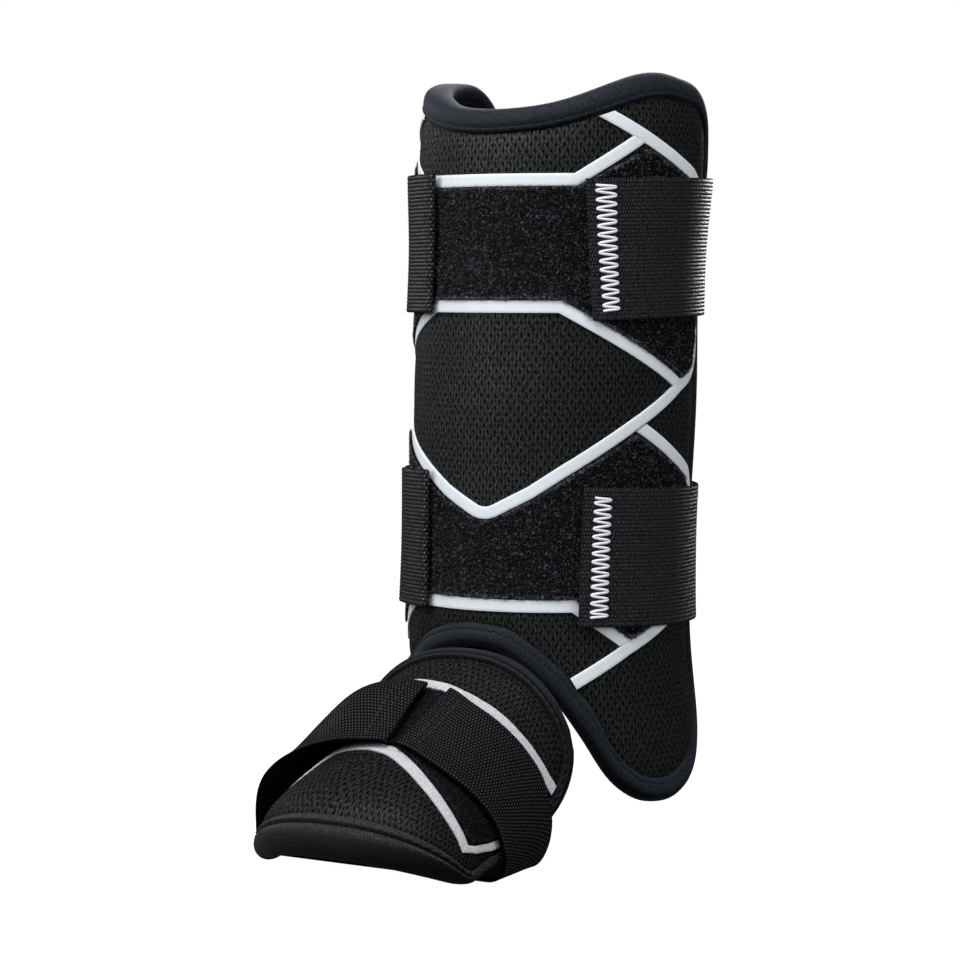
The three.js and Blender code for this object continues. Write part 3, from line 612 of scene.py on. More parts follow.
def edge_finish(name, low, high, tint, shade):
    finish, tree, shader, where = start_finish(name, 0.6, 0.1, 0.05, tint)
    knit = place_group(tree, cells, where.outputs["UV"], Width=0.0011, Length=0.0015, Wale=0.0)
    tone = place_group(tree, fleck, where.outputs["UV"], Scale=900.0)
    colour = toned(tree, two_tone(tree, knit["Strand"], low, high), tone["Fleck"], 0.6, 1.4)
    # Painted shade: the colour darkens where the knit faces down, and more so low down towards the ankle.
    way = tree.nodes.new("ShaderNodeSeparateXYZ")
    tree.links.new(where.outputs["Normal"], way.inputs[0])
    place = tree.nodes.new("ShaderNodeSeparateXYZ")
    tree.links.new(where.outputs["Object"], place.inputs[0])
    painted_shade_low_down = ranged(tree, place.outputs["Z"], -0.06, 0.06, -0.15, 0.0)
    painted_shade_by_facing = ranged(tree, math_node(tree, "ADD", way.outputs["Z"], painted_shade_low_down), *shade, 0.0, 1.0)
    tree.links.new(toned(tree, colour, painted_shade_by_facing, 0.1, 1.0), shader.inputs["Base Color"])
    relief(tree, shader, knit["Height"], 0.0002)
    return finish


edge_knit = edge_finish("edge_knit", COOL_GROUND, (0.022, 0.027, 0.037), COOL_TINT, (-0.55, 0.1))
foot_knit = edge_finish("foot_knit", PLAIN_GROUND, (0.036, 0.036, 0.037), PLAIN_TINT, (0.1, 0.6))
ankle_knit = edge_finish("ankle_knit", COOL_GROUND, (0.018, 0.022, 0.03), COOL_TINT, (0.05, 0.6))

# %% Pile: a dark felted ground and the loops that stand on it
pile_ground, tree, shader, where = start_finish("pile_ground", 0.9, 0.1, 0.0)
tone = place_group(tree, fleck, where.outputs["Object"], Scale=1500.0)
colour = two_tone(tree, tone["Fleck"], (0.0006, 0.0006, 0.0008), (0.006, 0.006, 0.0078), 0.35, 0.75)
tree.links.new(colour, shader.inputs["Base Color"])
relief(tree, shader, tone["Fleck"], 0.0008)


def loop_finish(name, high, shine):
    finish, tree, shader, where = start_finish(name, 0.5, shine, 0.0)
    tone = place_group(tree, fleck, where.outputs["Object"], Scale=900.0)
    colour = two_tone(tree, tone["Fleck"], (0.002, 0.002, 0.0028), high, 0.47, 0.7)
    tree.links.new(colour, shader.inputs["Base Color"])
    return finish


pile_loop = loop_finish("pile_loop", (0.14, 0.143, 0.182), 0.4)
foot_loop = loop_finish("foot_loop", (0.035, 0.036, 0.046), 0.2)

# %% White film, and the flocked film on the foot
def film_finish(name, roughness, sheen, scale, low, high, depth):
    finish, tree, shader, where = start_finish(name, roughness, 0.2, sheen)
    tone = place_group(tree, fleck, where.outputs["Object"], Scale=scale)
    colour = two_tone(tree, tone["Fleck"], low, high, 0.3, 0.7)
    tree.links.new(colour, shader.inputs["Base Color"])
    relief(tree, shader, tone["Fleck"], depth)
    return finish


white_film = film_finish(
    "white_film", 0.6, 0.0, 500.0, low=(0.61, 0.65, 0.695), high=(0.66, 0.7, 0.745), depth=0.00003
)
flocked_film = film_finish(
    "flocked_film", 0.85, 0.2, 1400.0, low=(0.33, 0.34, 0.36), high=(0.52, 0.53, 0.56), depth=0.0006
)

# %% Elastic webbing, and the finer webbing of the foot strap
def webbing_finish(name, weave_sizes, low, high, depth, shine):
    finish, tree, shader, where = start_finish(name, 0.42, 0.0, 0.0)
    weave = place_group(tree, webbing, where.outputs["UV"], **weave_sizes)
    tone = place_group(tree, fleck, where.outputs["UV"], Scale=900.0)
    colour = two_tone(tree, weave["Height"], low, high, 0.15, 0.95)
    tree.links.new(toned(tree, colour, tone["Fleck"], 0.65, 1.35), shader.inputs["Base Color"])
    shader.inputs["Coat Roughness"].default_value = 0.42
    crown = ranged(tree, weave["Crest"], 0.3, 0.8, 0.0, shine)
    tree.links.new(math_node(tree, "MULTIPLY", crown, weave["Height"]), shader.inputs["Coat Weight"])
    relief(tree, shader, weave["Height"], depth)
    return finish


elastic = webbing_finish(
    "elastic_webbing",
    {"Rib": 0.0014, "Thread": 0.0011, "Slub": 1.6, "Groove": 0.15},
    low=(0.0025, 0.0025, 0.003),
    high=(0.032, 0.032, 0.037),
    depth=0.0002,
    shine=1.0,
)
strap_weave = webbing_finish(
    "strap_weave",
    {"Rib": 0.00125, "Thread": 0.00125, "Slub": 0.3, "Groove": 0.9},
    low=(0.0012, 0.0012, 0.0014),
    high=(0.032, 0.032, 0.037),
    depth=0.0003,
    shine=0.4,
)

# %% Sewing thread, with its twist
def thread_finish(name, low, high):
    finish, tree, shader, where = start_finish(name, 0.6, 0.2, 0.0)
    calc = partial(math_node, tree)
    split = tree.nodes.new("ShaderNodeSeparateXYZ")
    tree.links.new(where.outputs["UV"], split.inputs[0])
    along = calc("MULTIPLY", split.outputs["X"], 1500.0)
    round_about = calc("MULTIPLY", split.outputs["Y"], 900.0)
    twist = calc("ADD", along, round_about)
    # The twist of the plies raises the bump, and its grooves are painted darker: painted shade.
    twist_relief_and_shade = calc("ABSOLUTE", calc("SINE", calc("MULTIPLY", twist, math.pi)))
    tree.links.new(two_tone(tree, twist_relief_and_shade, low, high, 0.0, 0.7), shader.inputs["Base Color"])
    relief(tree, shader, twist_relief_and_shade, 0.0001)
    return finish


pale_thread = thread_finish("pale_thread", (0.45, 0.43, 0.5), (0.85, 0.82, 0.9))
dark_thread = thread_finish("dark_thread", (0.002, 0.0022, 0.003), (0.03, 0.033, 0.042))

# %% [markdown]
# ## The padded shin shell
# The shell is foam under a taut mesh cover, about nine millimetres thick, and lined on the inside. It
# could be a bent cylinder cut with booleans, but then the cloth grain would not follow the cut. So it
# is cut flat between its upper and lower edges, given its wall with Solidify while it is still flat,
# and wrapped last. Near the seam the foam is pulled down, which gives the soft roll along the edge.

# %% Cut the shin cover flat and give it its wall
SHIN_WALL = 9.0
COVER_INSET = 8.1


def give_wall(piece, thickness, offset, lining):
    wall = piece.modifiers.new("wall", "SOLIDIFY")
    wall.thickness = thickness
    wall.offset = offset
    wall.material_offset = lining
    wall.material_offset_rim = lining
    bpy.ops.object.modifier_apply(modifier="wall")


columns, rows = 150, 130
shin_cover, i, k = cut("shin_cover", columns, rows)
angle = shin_angles(columns, COVER_INSET)[i]
low = shin_limit("bottom", angle, COVER_INSET)
high = shin_limit("top", angle, COVER_INSET)
height = low + (high - low) * k / rows
put(shin_cover, np.stack([angle * ARC, height, np.zeros_like(angle)], -1) * MM)
pattern_uv(shin_cover, angle * ARC * MM, height * MM)
give_wall(shin_cover, SHIN_WALL * MM, offset=-1, lining=1)
print("flat width of the shin cover mm:", round((angle.max() - angle.min()) * ARC))

# %% Wrap the shin cover
SHIN_SEAM_PULL = 1.3
SHIN_SEAM_ROLL = 3.0
flat = points(shin_cover) / MM
angle, height, depth = flat[:, 0] / ARC, flat[:, 1], flat[:, 2]
reach = SHIN_EDGE - COVER_INSET / ARC
to_bottom = height - shin_limit("bottom", angle, COVER_INSET)
to_top = shin_limit("top", angle, COVER_INSET) - height
to_seam = np.minimum(np.minimum(to_bottom, to_top), (reach - np.abs(angle)) * ARC)
pull = SHIN_SEAM_PULL * np.exp(-np.maximum(to_seam, 0) / SHIN_SEAM_ROLL)
ripple = 0.12 * np.sin(angle * 0.21 + height * 0.05) + 0.1 * np.sin(height * 0.17 - angle * 0.06)
outside = depth > -SHIN_WALL / 2
put(shin_cover, on_shin(angle, height, depth + np.where(outside, ripple - pull, pull)))
sew_up(shin_cover, fill=False, angle=60)
dress(shin_cover, ["shin_shell"], "mesh_cover", shin_mesh, edge_knit)

# %% [markdown]
# ## The rolled edge
# The edge of the shell is bound with a knit-faced band, folded over the foam and sewn through. A curve
# with a bevel would keep one round section, but the band is flat on both faces and round only at the
# rim. So rings of that section are placed all along the outline and lofted into a closed band.

# %% Section of the rolled edge
SHIN_FACE = (
    # share of the band, height
    (1.05, -1.0),
    (1.0, -0.1),
    (0.93, 0.65),
    (0.84, 0.25),
    (0.75, 0.8),
    (0.58, 1.05),
)
EDGE_PROUD = 0.75


def rolled_section(wall, face, rim):
    turn = np.radians(np.linspace(0, 180, 13))
    outer = [(share, EDGE_PROUD * up) for share, up in face]
    bow = [(rim * (1 - math.sin(a)), -wall * (1 - math.cos(a)) / 2 + EDGE_PROUD * math.cos(a)) for a in turn]
    inner = [(share, -wall - EDGE_PROUD * up) for share, up in reversed(face)]
    return outer + bow + inner


shin_section = rolled_section(SHIN_WALL, SHIN_FACE, 0.42)
print("points in the section:", len(shin_section))

# %% Bind the shin edge
BINDING_WIDTH = 8.5


def shin_outline(share):
    inset = share * BINDING_WIDTH
    angles = shin_angles(130, inset)
    top = np.stack([angles, shin_limit("top", angles, inset)], -1)
    bottom = np.stack([angles, shin_limit("bottom", angles, inset)], -1)[::-1]
    outer = np.linspace(top[-1], bottom[0], 60)[1:-1]
    inner = np.linspace(bottom[-1], top[0], 50)[1:-1]
    return np.concatenate([top, outer, bottom, inner])


def bind_edge(name, node, section, outline, surface, cloth):
    rings = []
    for share, offset in section:
        path = outline(share)
        rings.append(surface(path[:, 0], path[:, 1], offset))
    piece = loft(name, np.stack(rings, 1), closed=True, angle=70)
    dress(piece, [node], "edge_binding", cloth)
    return piece


bind_edge("shin_edge", "shin_binding", shin_section, shin_outline, on_shin, edge_knit)

# %% [markdown]
# ## Stitches
# A row of stitches holds the band down. Each one is a short thread, thick in the middle and sunk at
# both ends. One stitch is a small tube, and the row repeats it along the outline, so that the seam is
# real geometry and catches the light.

# %% Thread along a path
def tube_rings(path, normal, radius, sides):
    tangent = np.gradient(path, axis=0)
    tangent /= np.linalg.norm(tangent, axis=1, keepdims=True)
    side = np.cross(tangent, normal)
    side /= np.linalg.norm(side, axis=1, keepdims=True)
    up = np.cross(side, tangent)
    turn = np.linspace(0, 2 * math.pi, sides, endpoint=False)
    ring = np.cos(turn)[None, :, None] * side[:, None, :] + np.sin(turn)[None, :, None] * up[:, None, :]
    return path[:, None, :] + ring * np.asarray(radius).reshape(-1, 1, 1)


# %% One stitch, many times
STITCH_SWELL = np.array([0.35, 0.85, 1.0, 0.85, 0.35])
STITCH_RISE = np.array([-0.4, 0.25, 0.45, 0.25, -0.4])
STITCH_RINGS = len(STITCH_SWELL)
STITCH_SIDES = 6


def stitch_faces(count):
    one = []
    for ring in range(STITCH_RINGS - 1):
        a = ring * STITCH_SIDES
        b = a + STITCH_SIDES
        for j in range(STITCH_SIDES):
            after = (j + 1) % STITCH_SIDES
            one.append((a + j, a + after, b + after, b + j))
    last = (STITCH_RINGS - 1) * STITCH_SIDES
    one.append(tuple(reversed(range(STITCH_SIDES))))
    one.append(tuple(range(last, last + STITCH_SIDES)))
    pitch = STITCH_RINGS * STITCH_SIDES
    return [tuple(s * pitch + corner for corner in face) for s in range(count) for face in one]


print("faces in a stitch:", len(stitch_faces(1)))

# %% Where the stitches of a row go
def stitch_points(line, normals, length, gap, thick):
    run = np.concatenate([[0], np.cumsum(np.linalg.norm(np.diff(line, axis=0), axis=1))])
    starts = np.arange(gap, run[-1] - length, length + gap)
    share = np.linspace(0, 1, STITCH_RINGS)
    at = (starts[:, None] + share[None, :] * length).ravel()
    path = np.stack([np.interp(at, run, line[:, c]) for c in range(3)], -1)
    normal = np.stack([np.interp(at, run, normals[:, c]) for c in range(3)], -1)
    path += normal * (np.tile(STITCH_RISE, len(starts)) * thick)[:, None]
    paths = path.reshape(-1, STITCH_RINGS, 3)
    normals = normal.reshape(-1, STITCH_RINGS, 3)
    tubes = [tube_rings(p, n, thick / 2 * STITCH_SWELL, STITCH_SIDES) for p, n in zip(paths, normals)]
    return np.concatenate(tubes).reshape(-1, 3), len(starts)


# %% A row of stitches
def stitch_row(name, line, normals, length, gap, thick, cloth):
    verts, count = stitch_points(line, normals, length, gap, thick)
    mesh = bpy.data.meshes.new(name)
    mesh.from_pydata(verts.tolist(), [], stitch_faces(count))
    mesh.uv_layers.new(name="UVMap")
    piece = bpy.data.objects.new(name, mesh)
    scene.collection.objects.link(piece)
    lengthways = np.repeat(np.linspace(0, length, STITCH_RINGS), STITCH_SIDES)
    round_about = np.arange(STITCH_SIDES) / STITCH_SIDES * thick * 3
    pattern_uv(piece, np.tile(lengthways, count), np.tile(round_about, count * STITCH_RINGS))
    bpy.ops.object.select_all(action="DESELECT")
    piece.select_set(True)
    bpy.context.view_layer.objects.active = piece
    bpy.ops.object.shade_smooth()
    dress(piece, [], None, cloth)


def surface_line(surface, first, second, offset):
    here = surface(first, second, offset)
    out = surface(first, second, np.asarray(offset) + 1.0) - here
    return here, out / np.linalg.norm(out, axis=-1, keepdims=True)


# %% Stitch the shin edge
SEAM_SHARE = 0.86
EDGE_STITCH = (2.6 * MM, 0.9 * MM, 0.36 * MM)  # length, gap, thickness


def stitch_edge(name, outline, surface):
    path = outline(SEAM_SHARE)
    path = np.concatenate([path, path[:1]])
    line, out = surface_line(surface, path[:, 0], path[:, 1], 0.5)
    stitch_row(name, line, out, *EDGE_STITCH, dark_thread)


stitch_edge("shin_edge_stitches", shin_outline, on_shin)

# %% [markdown]
# ## Pile panels
# The straps fasten on panels of soft pile. A noise bump alone looks like sandpaper, because real pile
# has loops that cross its border and catch light one by one. So a felted ground is cut to the shape of
# the panel, and thousands of small loops, each a ribbon of three faces, are strewn over it.

# %% Pile tables
PILE_UPPER = (
    # angle, lower, upper
    (0, 51.4, 90.5),
    (28.3, 51.4, 90.5),
    (33.7, 49.1, 90.6),
    (62, 35.3, 103.8),
    (72.5, 30.2, 98.9),
    (87.5, 23.3, 93.3),
    (96.5, 27.0, 87.6),
    (102.1, 38.0, 75.0),
)
PILE_LOWER = (
    (0, -54.5, -27.7),
    (5.5, -54.5, -26.3),
    (19.1, -54.5, -20.6),
    (38.1, -54.5, -9.8),
    (60.1, -68.6, 2.2),
    (62.5, -69.3, 2.1),
    (78.1, -62.9, -5.5),
    (95.5, -55.4, -13.9),
    (102.1, -44.0, -24.0),
)
FOOT_PILE = (
    # across, back, front
    (-75, 0.215, 0.56),
    (-70, 0.224, 0.69),
    (-64, 0.23, 0.7),
    (-56, 0.234, 0.64),
    (-42, 0.236, 0.545),
    (-28, 0.238, 0.508),
    (-10, 0.246, 0.517),
    (0, 0.262, 0.53),
    (12, 0.282, 0.578),
    (22, 0.287, 0.615),
    (34, 0.281, 0.656),
    (46, 0.27, 0.692),
    (60, 0.244, 0.738),
    (67, 0.228, 0.75),
    (70, 0.222, 0.72),
    (75, 0.215, 0.58),
)
print("rows of the pile tables:", len(PILE_UPPER), len(PILE_LOWER), len(FOOT_PILE))

# %% From the flat pattern to the leg
PATTERN_TURN = 2.5
INNER_SHIFT = 4.0
INNER_SHIFT_TOP = 8.5


def mirrored(rows):
    return tuple((-row[0], *row[1:]) for row in reversed(rows) if row[0] > 0) + tuple(rows)


def ease(x, first, last):
    s = np.clip((x - first) / (last - first), 0, 1)
    return s * s * (3 - 2 * s)


def shin_pattern(x, y, z):
    """Wraps a flat place on to the shin. The inner side sits a little further round the leg."""
    angle = x / ARC
    top = INNER_SHIFT_TOP * ease(y, 60, 88) * (ease(-angle, 5, 35) - ease(-angle, 58, 95))
    return on_shin(angle + PATTERN_TURN - INNER_SHIFT * ease(-angle, 20, 50) - top, y, z)


def foot_pattern(x, y, z):
    return on_foot(y / FOOT_LENGTH, x / FOOT_ARC, z)


print("middle of the upper pile:", shin_pattern(0.0, 70.0, 0.0).round(4))

# %% Strew loops
FRINGE_SHARE = 0.14
LOOP_WIDTH = 0.12


def loops_over(outline, count, seed, thick):
    draw = np.random.default_rng(seed)
    x = draw.uniform(outline[0, 0], outline[-1, 0], count * 3)
    low = np.interp(x, outline[:, 0], outline[:, 1])
    high = np.interp(x, outline[:, 0], outline[:, 2])
    widest = (outline[:, 2] - outline[:, 1]).max()
    kept = np.nonzero(draw.uniform(0, widest, x.size) < high - low)[0][:count]
    x, low, high = x[kept], low[kept], high[kept]
    fringe = draw.uniform(0, 1, x.size) < FRINGE_SHARE
    inset = draw.uniform(-0.3, 0.7, x.size)
    border = np.where(draw.uniform(0, 1, x.size) < 0.5, low + inset, high - inset)
    y = np.where(fringe, border, low + (high - low) * draw.uniform(0, 1, x.size))
    way = draw.uniform(0, 2 * math.pi, x.size)
    reach = np.where(fringe, draw.uniform(0.4, 1.2, x.size), draw.uniform(0.25, 0.65, x.size))
    rise = draw.uniform(0.3, 0.8, x.size)
    curl = draw.uniform(-0.4, 0.4, x.size)
    t = np.linspace(0, 1, 4)
    along = (t - 0.5)[None, :] * 2 * reach[:, None]
    bow = curl[:, None] * np.sin(math.pi * t)[None, :]
    px = x[:, None] + along * np.cos(way)[:, None] - bow * np.sin(way)[:, None]
    py = y[:, None] + along * np.sin(way)[:, None] + bow * np.cos(way)[:, None]
    pz = thick - 0.2 + rise[:, None] * np.sin(math.pi * t)[None, :]
    pair = np.array([-0.5, 0.5]) * LOOP_WIDTH
    qx = px[:, :, None] - np.sin(way)[:, None, None] * pair
    qy = py[:, :, None] + np.cos(way)[:, None, None] * pair
    qz = np.repeat(pz[:, :, None], 2, 2)
    return qx.ravel(), qy.ravel(), qz.ravel(), x.size


# %% Cut the ground of a panel
PANEL_COLUMNS = 130
PANEL_ROWS = 44
PANEL_INSET = 0.35


def felt_ground(name, outline, surface, seed, thick):
    ground, i, k = cut(name, PANEL_COLUMNS, PANEL_ROWS)
    spread = np.linspace(0, PANEL_COLUMNS, len(outline))
    x = np.interp(np.arange(PANEL_COLUMNS + 1), spread, outline[:, 0])[i]
    low = np.interp(x, outline[:, 0], outline[:, 1]) + PANEL_INSET
    high = np.interp(x, outline[:, 0], outline[:, 2]) - PANEL_INSET
    put(ground, np.stack([x, low + (high - low) * k / PANEL_ROWS, np.zeros_like(x)], -1) * MM)
    give_wall(ground, (thick - 0.1) * MM, offset=1, lining=0)
    flat = points(ground) / MM
    rough = np.random.default_rng(seed + 50).uniform(-0.3, 0.15, len(flat)) * (flat[:, 2] > 0.3)
    put(ground, surface(flat[:, 0], flat[:, 1], flat[:, 2] + rough + 0.05))
    sew_up(ground, fill=False, angle=80)
    return ground


# %% Set the loops on the ground
def pile_panel(name, node, outline, surface, count, seed, thick, loop):
    outline = np.asarray(outline, float)
    ground = felt_ground(name, outline, surface, seed, thick)
    x, y, z, loops = loops_over(outline, count, seed, thick)
    mesh = bpy.data.meshes.new(name + "_loops")
    start = np.arange(loops)[:, None, None] * 8 + np.arange(3)[None, :, None] * 2
    faces = start + np.array([0, 1, 3, 2])
    mesh.from_pydata(surface(x, y, z).tolist(), [], faces.reshape(-1, 4).tolist())
    nap = bpy.data.objects.new(name + "_loops", mesh)
    scene.collection.objects.link(nap)
    dress(ground, [node], "loop_pile", pile_ground, loop)
    mesh.materials.append(pile_ground)
    mesh.materials.append(loop)
    mesh.polygons.foreach_set("material_index", np.ones(len(mesh.polygons), np.int32))
    bpy.ops.object.select_all(action="DESELECT")
    nap.select_set(True)
    ground.select_set(True)
    bpy.context.view_layer.objects.active = ground
    bpy.ops.object.join()
    print(name, "loops:", loops)


# %% The three panels
def in_millimetres(rows, first, second):
    return [(row[0] * first, row[1] * second, row[2] * second) for row in rows]


upper_pile = in_millimetres(mirrored(PILE_UPPER), ARC, 1)
lower_pile = in_millimetres(mirrored(PILE_LOWER), ARC, 1)
foot_pile = in_millimetres(FOOT_PILE, FOOT_ARC, FOOT_LENGTH)
PANELS = (
    # name, node, outline, surface, loops, seed, thickness, finish of the loops
    ("pile_upper", "loop_panel_upper", upper_pile, shin_pattern, 26000, 3, 1.4, pile_loop),
    ("pile_lower", "loop_panel_lower", lower_pile, shin_pattern, 22000, 4, 1.4, pile_loop),
    ("pile_foot", "foot_loop_panel", foot_pile, foot_pattern, 9000, 5, 1.2, foot_loop),
)
for panel in PANELS:
    pile_panel(*panel)

# %% [markdown]
# ## White lines
# The lines are strips of film pressed on to the cover. A Freestyle or painted line would vanish from
# the side, so each is a strip of its own, with a low rounded section. It is drawn as a path of corners
# in the flat pattern, given its width there with proper mitres, and wrapped.

# %% Corners of the shin lines
LINE_TOP = ((0, 93.2), (32.9, 93.2), (57.0, 107.0))
LINE_SIDE_UPPER = (
    # angle, height
    (45.0, 115.8),
    (57.4, 110.1),
    (68.0, 105.1),
    (80.0, 99.8),
    (89.5, 96.1),
    (98.0, 91.2),
    (104.0, 82.0),
    (106.0, 70.0),
    (106.0, 44.0),
    (105.2, 36.5),
    (103.0, 30.5),
    (99.3, 26.2),
    (94.5, 23.0),
    (87.0, 20.2),
)
LINE_SIDE_UPPER_INNER_START = (42.5, 116.9)
LINE_SHIELD = (
    (0, 48.7),
    (28.8, 48.7),
    (87.0, 20.2),
    (60.6, 6.7),
    (31.1, -9.8),
    (19.1, -16.9),
    (6.5, -22.7),
    (4, -23.8),
    (2, -24.35),
    (0, -24.5),
)
LINE_SIDE_LOWER = (
    (65.5, 5.1),
    (85.7, -5.4),
    (99.0, -11.6),
    (104.5, -18.0),
    (106.0, -25.0),
    (106.0, -44.0),
    (103.5, -52.0),
    (95.5, -58.6),
    (78.1, -66.0),
    (60.1, -73.3),
)
LINE_SIDE_LOWER_OUTER_END = (36.9, -84.8)
LINE_SIDE_LOWER_INNER_END = (59.2, -73.7)
LINE_BOTTOM = ((0, -57.3), (37.6, -57.3), (58.3, -70.4))
print("corners of the shield:", 2 * len(LINE_SHIELD) - 2)

# %% Path and section of a line
LINE_SECTION = (
    # side, height
    (-1.0, -0.1),
    (-1.0, 0.46),
    (-0.985, 0.58),
    (-0.95, 0.63),
    (-0.5, 0.65),
    (0.0, 0.655),
    (0.5, 0.65),
    (0.95, 0.63),
    (0.985, 0.58),
    (1.0, 0.46),
    (1.0, -0.1),
)


def resample(corners, pitch):
    path = []
    for here, after in zip(corners[:-1], corners[1:]):
        count = max(1, round(np.linalg.norm(after - here) / pitch))
        path += [here + (after - here) * s / count for s in range(count)]
    return np.array(path + [corners[-1]])


def line_sides(path, closed, width):
    arriving = path - np.roll(path, 1, 0)
    leaving = np.roll(path, -1, 0) - path
    if not closed:
        arriving[0] = leaving[0]
        leaving[-1] = arriving[-1]
    arriving = arriving / np.linalg.norm(arriving, axis=1, keepdims=True)
    leaving = leaving / np.linalg.norm(leaving, axis=1, keepdims=True)
    tangent = arriving + leaving
    tangent /= np.linalg.norm(tangent, axis=1, keepdims=True)
    mitre = np.maximum((tangent * arriving).sum(1), 0.5)
    return np.stack([-tangent[:, 1], tangent[:, 0]], -1) * (width / 2 / mitre)[:, None]


print("points in the section of a line:", len(LINE_SECTION))

# %% Draw a line
LINE_WIDTH = 4.4
LINE_OVERLAP = 1.1
LINE_PITCH = 1.6


def draw_line(name, node, corners, surface, slot, film, meets=(None, None), closed=False, width=LINE_WIDTH):
    corners = np.asarray(corners, float)
    path = resample(np.concatenate([corners, corners[:1]]) if closed else corners, LINE_PITCH)
    path = path[:-1] if closed else path
    for end, inward in ((0, 1), (-1, -2)):
        if meets[end] is not None:
            outward = path[end] - path[inward]
            path[end] += outward / np.linalg.norm(outward) * LINE_OVERLAP
    side = line_sides(path, closed, width)
    skew = np.zeros_like(path)
    for end, way in ((0, meets[0]), (-1, meets[1])):
        if way is not None:
            along = path[1] - path[0] if end == 0 else path[-1] - path[-2]
            along = along / np.linalg.norm(along)
            across = side[end] / np.linalg.norm(side[end])
            skew[end] = along * np.dot(way, along) / np.dot(way, across) * width / 2
    tall = 1.0 if closed else 0.95  # the closed shield lies over the ends that meet it
    rings = []
    for place, up in LINE_SECTION:
        flat = path + (side + skew) * place
        rings.append(surface(flat[:, 0], flat[:, 1], up * tall))
    piece = loft(name, np.stack(rings, 1), closed=closed, angle=50)
    dress(piece, [node], slot, film)


# %% Ways and mirrored paths
def way_between(rows, first, second):
    step = (np.array(rows[second]) - np.array(rows[first])) * (ARC, 1)
    return step / np.linalg.norm(step)


def flipped(way):
    return np.array([-way[0], way[1]])


def shin_path(rows, side=1):
    return [(angle * ARC * side, height) for angle, height in rows]


print("way of the upper side line:", way_between(LINE_SIDE_UPPER, 0, 1).round(3))

# %% Where the lines of the shin meet
shield_lower = way_between(LINE_SHIELD, 2, 3)
shield_inner = flipped(shield_lower)
side_upper = way_between(LINE_SIDE_UPPER, 0, 1)
side_lower = way_between(LINE_SIDE_LOWER, 8, 9)
rise = shin_limit("top", 50.0, 0) - shin_limit("top", 40.0, 0)
top_edge = np.array([10 * ARC, rise]) / math.hypot(10 * ARC, rise)
shield = shin_path(LINE_SHIELD) + shin_path(LINE_SHIELD[1:-1], -1)[::-1]
upper_inner = (LINE_SIDE_UPPER_INNER_START,) + LINE_SIDE_UPPER[1:]
lower_outer = LINE_SIDE_LOWER + (LINE_SIDE_LOWER_OUTER_END,)
lower_inner = LINE_SIDE_LOWER + (LINE_SIDE_LOWER_INNER_END,)
print("way of the top edge:", top_edge.round(3))

# %% The lines of the shin
SHIN_LINES = (
    # name, node, corners, start meets, end meets
    ("line_top", "trim_top", shin_path(mirrored(LINE_TOP)), flipped(side_upper), side_upper),
    ("line_side_upper_outer", "trim_side_upper_outer", shin_path(LINE_SIDE_UPPER), top_edge, None),
    ("line_side_upper_inner", "trim_side_upper_inner", shin_path(upper_inner, -1), flipped(top_edge), None),
    ("line_bottom", "trim_bottom", shin_path(mirrored(LINE_BOTTOM)), flipped(side_lower), side_lower),
    ("line_side_lower_outer", "trim_side_lower_outer", shin_path(lower_outer), shield_lower, None),
    ("line_side_lower_inner", "trim_side_lower_inner", shin_path(lower_inner, -1), shield_inner, None),
)
for name, node, corners, start, end in SHIN_LINES:
    draw_line(name, node, corners, shin_pattern, "white_line", white_film, (start, end))
draw_line("line_shield", "trim_shield", shield, shin_pattern, "white_line", white_film, closed=True)

# %% [markdown]
# ## Calf straps
# Each strap is a loop of ribbed elastic that runs round the back of the calf. On the inner side it is
# folded back on itself, and on the outer side its end lies on the pile. The ribs are real geometry
# here, because at the edge of the leg they are seen as a row of bright bars. The strap is one ribbon
# whose rings follow the path out, round the fold and back.

# %% Strap sizes
STRAPS = {
    # bottom, top, outer end at top and bottom, inner end at top and bottom, column of STRAP_RISE
    "upper": (44.5, 94.3, 38.6, 43.8, -26.0, -27.5, 1),
    "lower": (-64.4, -14.8, 42.4, 41.4, -26.0, -24.5, 2),
}
STRAP_RISE = (
    # angle, upper, lower
    (40, -0.8, 0.0),
    (115, 0.8, -2.0),
    (235, 1.6, 2.5),
    (335, 1.8, 4.8),
)


def strap_ends(key, t):
    """The angles of a strap's outer and inner end, at share t of its width."""
    outer_top, outer_bottom, inner_top, inner_bottom = STRAPS[key][2:6]
    start = outer_bottom + (outer_top - outer_bottom) * t
    return start, 360 + inner_bottom + (inner_top - inner_bottom) * t


def strap_length(key):
    start, end = strap_ends(key, 0.5)
    return (end - start) * ARC


for key in STRAPS:
    print(key, "strap round the leg mm:", round(strap_length(key)))

# %% A point of a strap
STRAP_BASE = 2.1
CALF_RADIUS = 49.0
CALF_SPAN = 70.0


def strap_point(key, t, x, up):
    """t goes up the strap, x is millimetres along it from its outer end, up is above its underside."""
    bottom, top = STRAPS[key][:2]
    start, end = strap_ends(key, t)
    angle = start + (end - start) * x / strap_length(key)
    height = bottom + (top - bottom) * t + read_curve(STRAP_RISE, angle, STRAPS[key][6])
    beside = ease(np.abs(angle - 180), 0, CALF_SPAN)
    radius = read_curve(SHIN_SECTIONS, height, 3)
    return on_shin(angle, height, (CALF_RADIUS - radius) * (1 - beside) + STRAP_BASE * beside + up)


print("upper strap behind the calf:", strap_point("upper", 0.5, strap_length("upper") / 2, 0.0).round(4))

# %% Ribbed section and folded path
STRAP_THICK = 1.35
STRAP_FOLD = 24.0


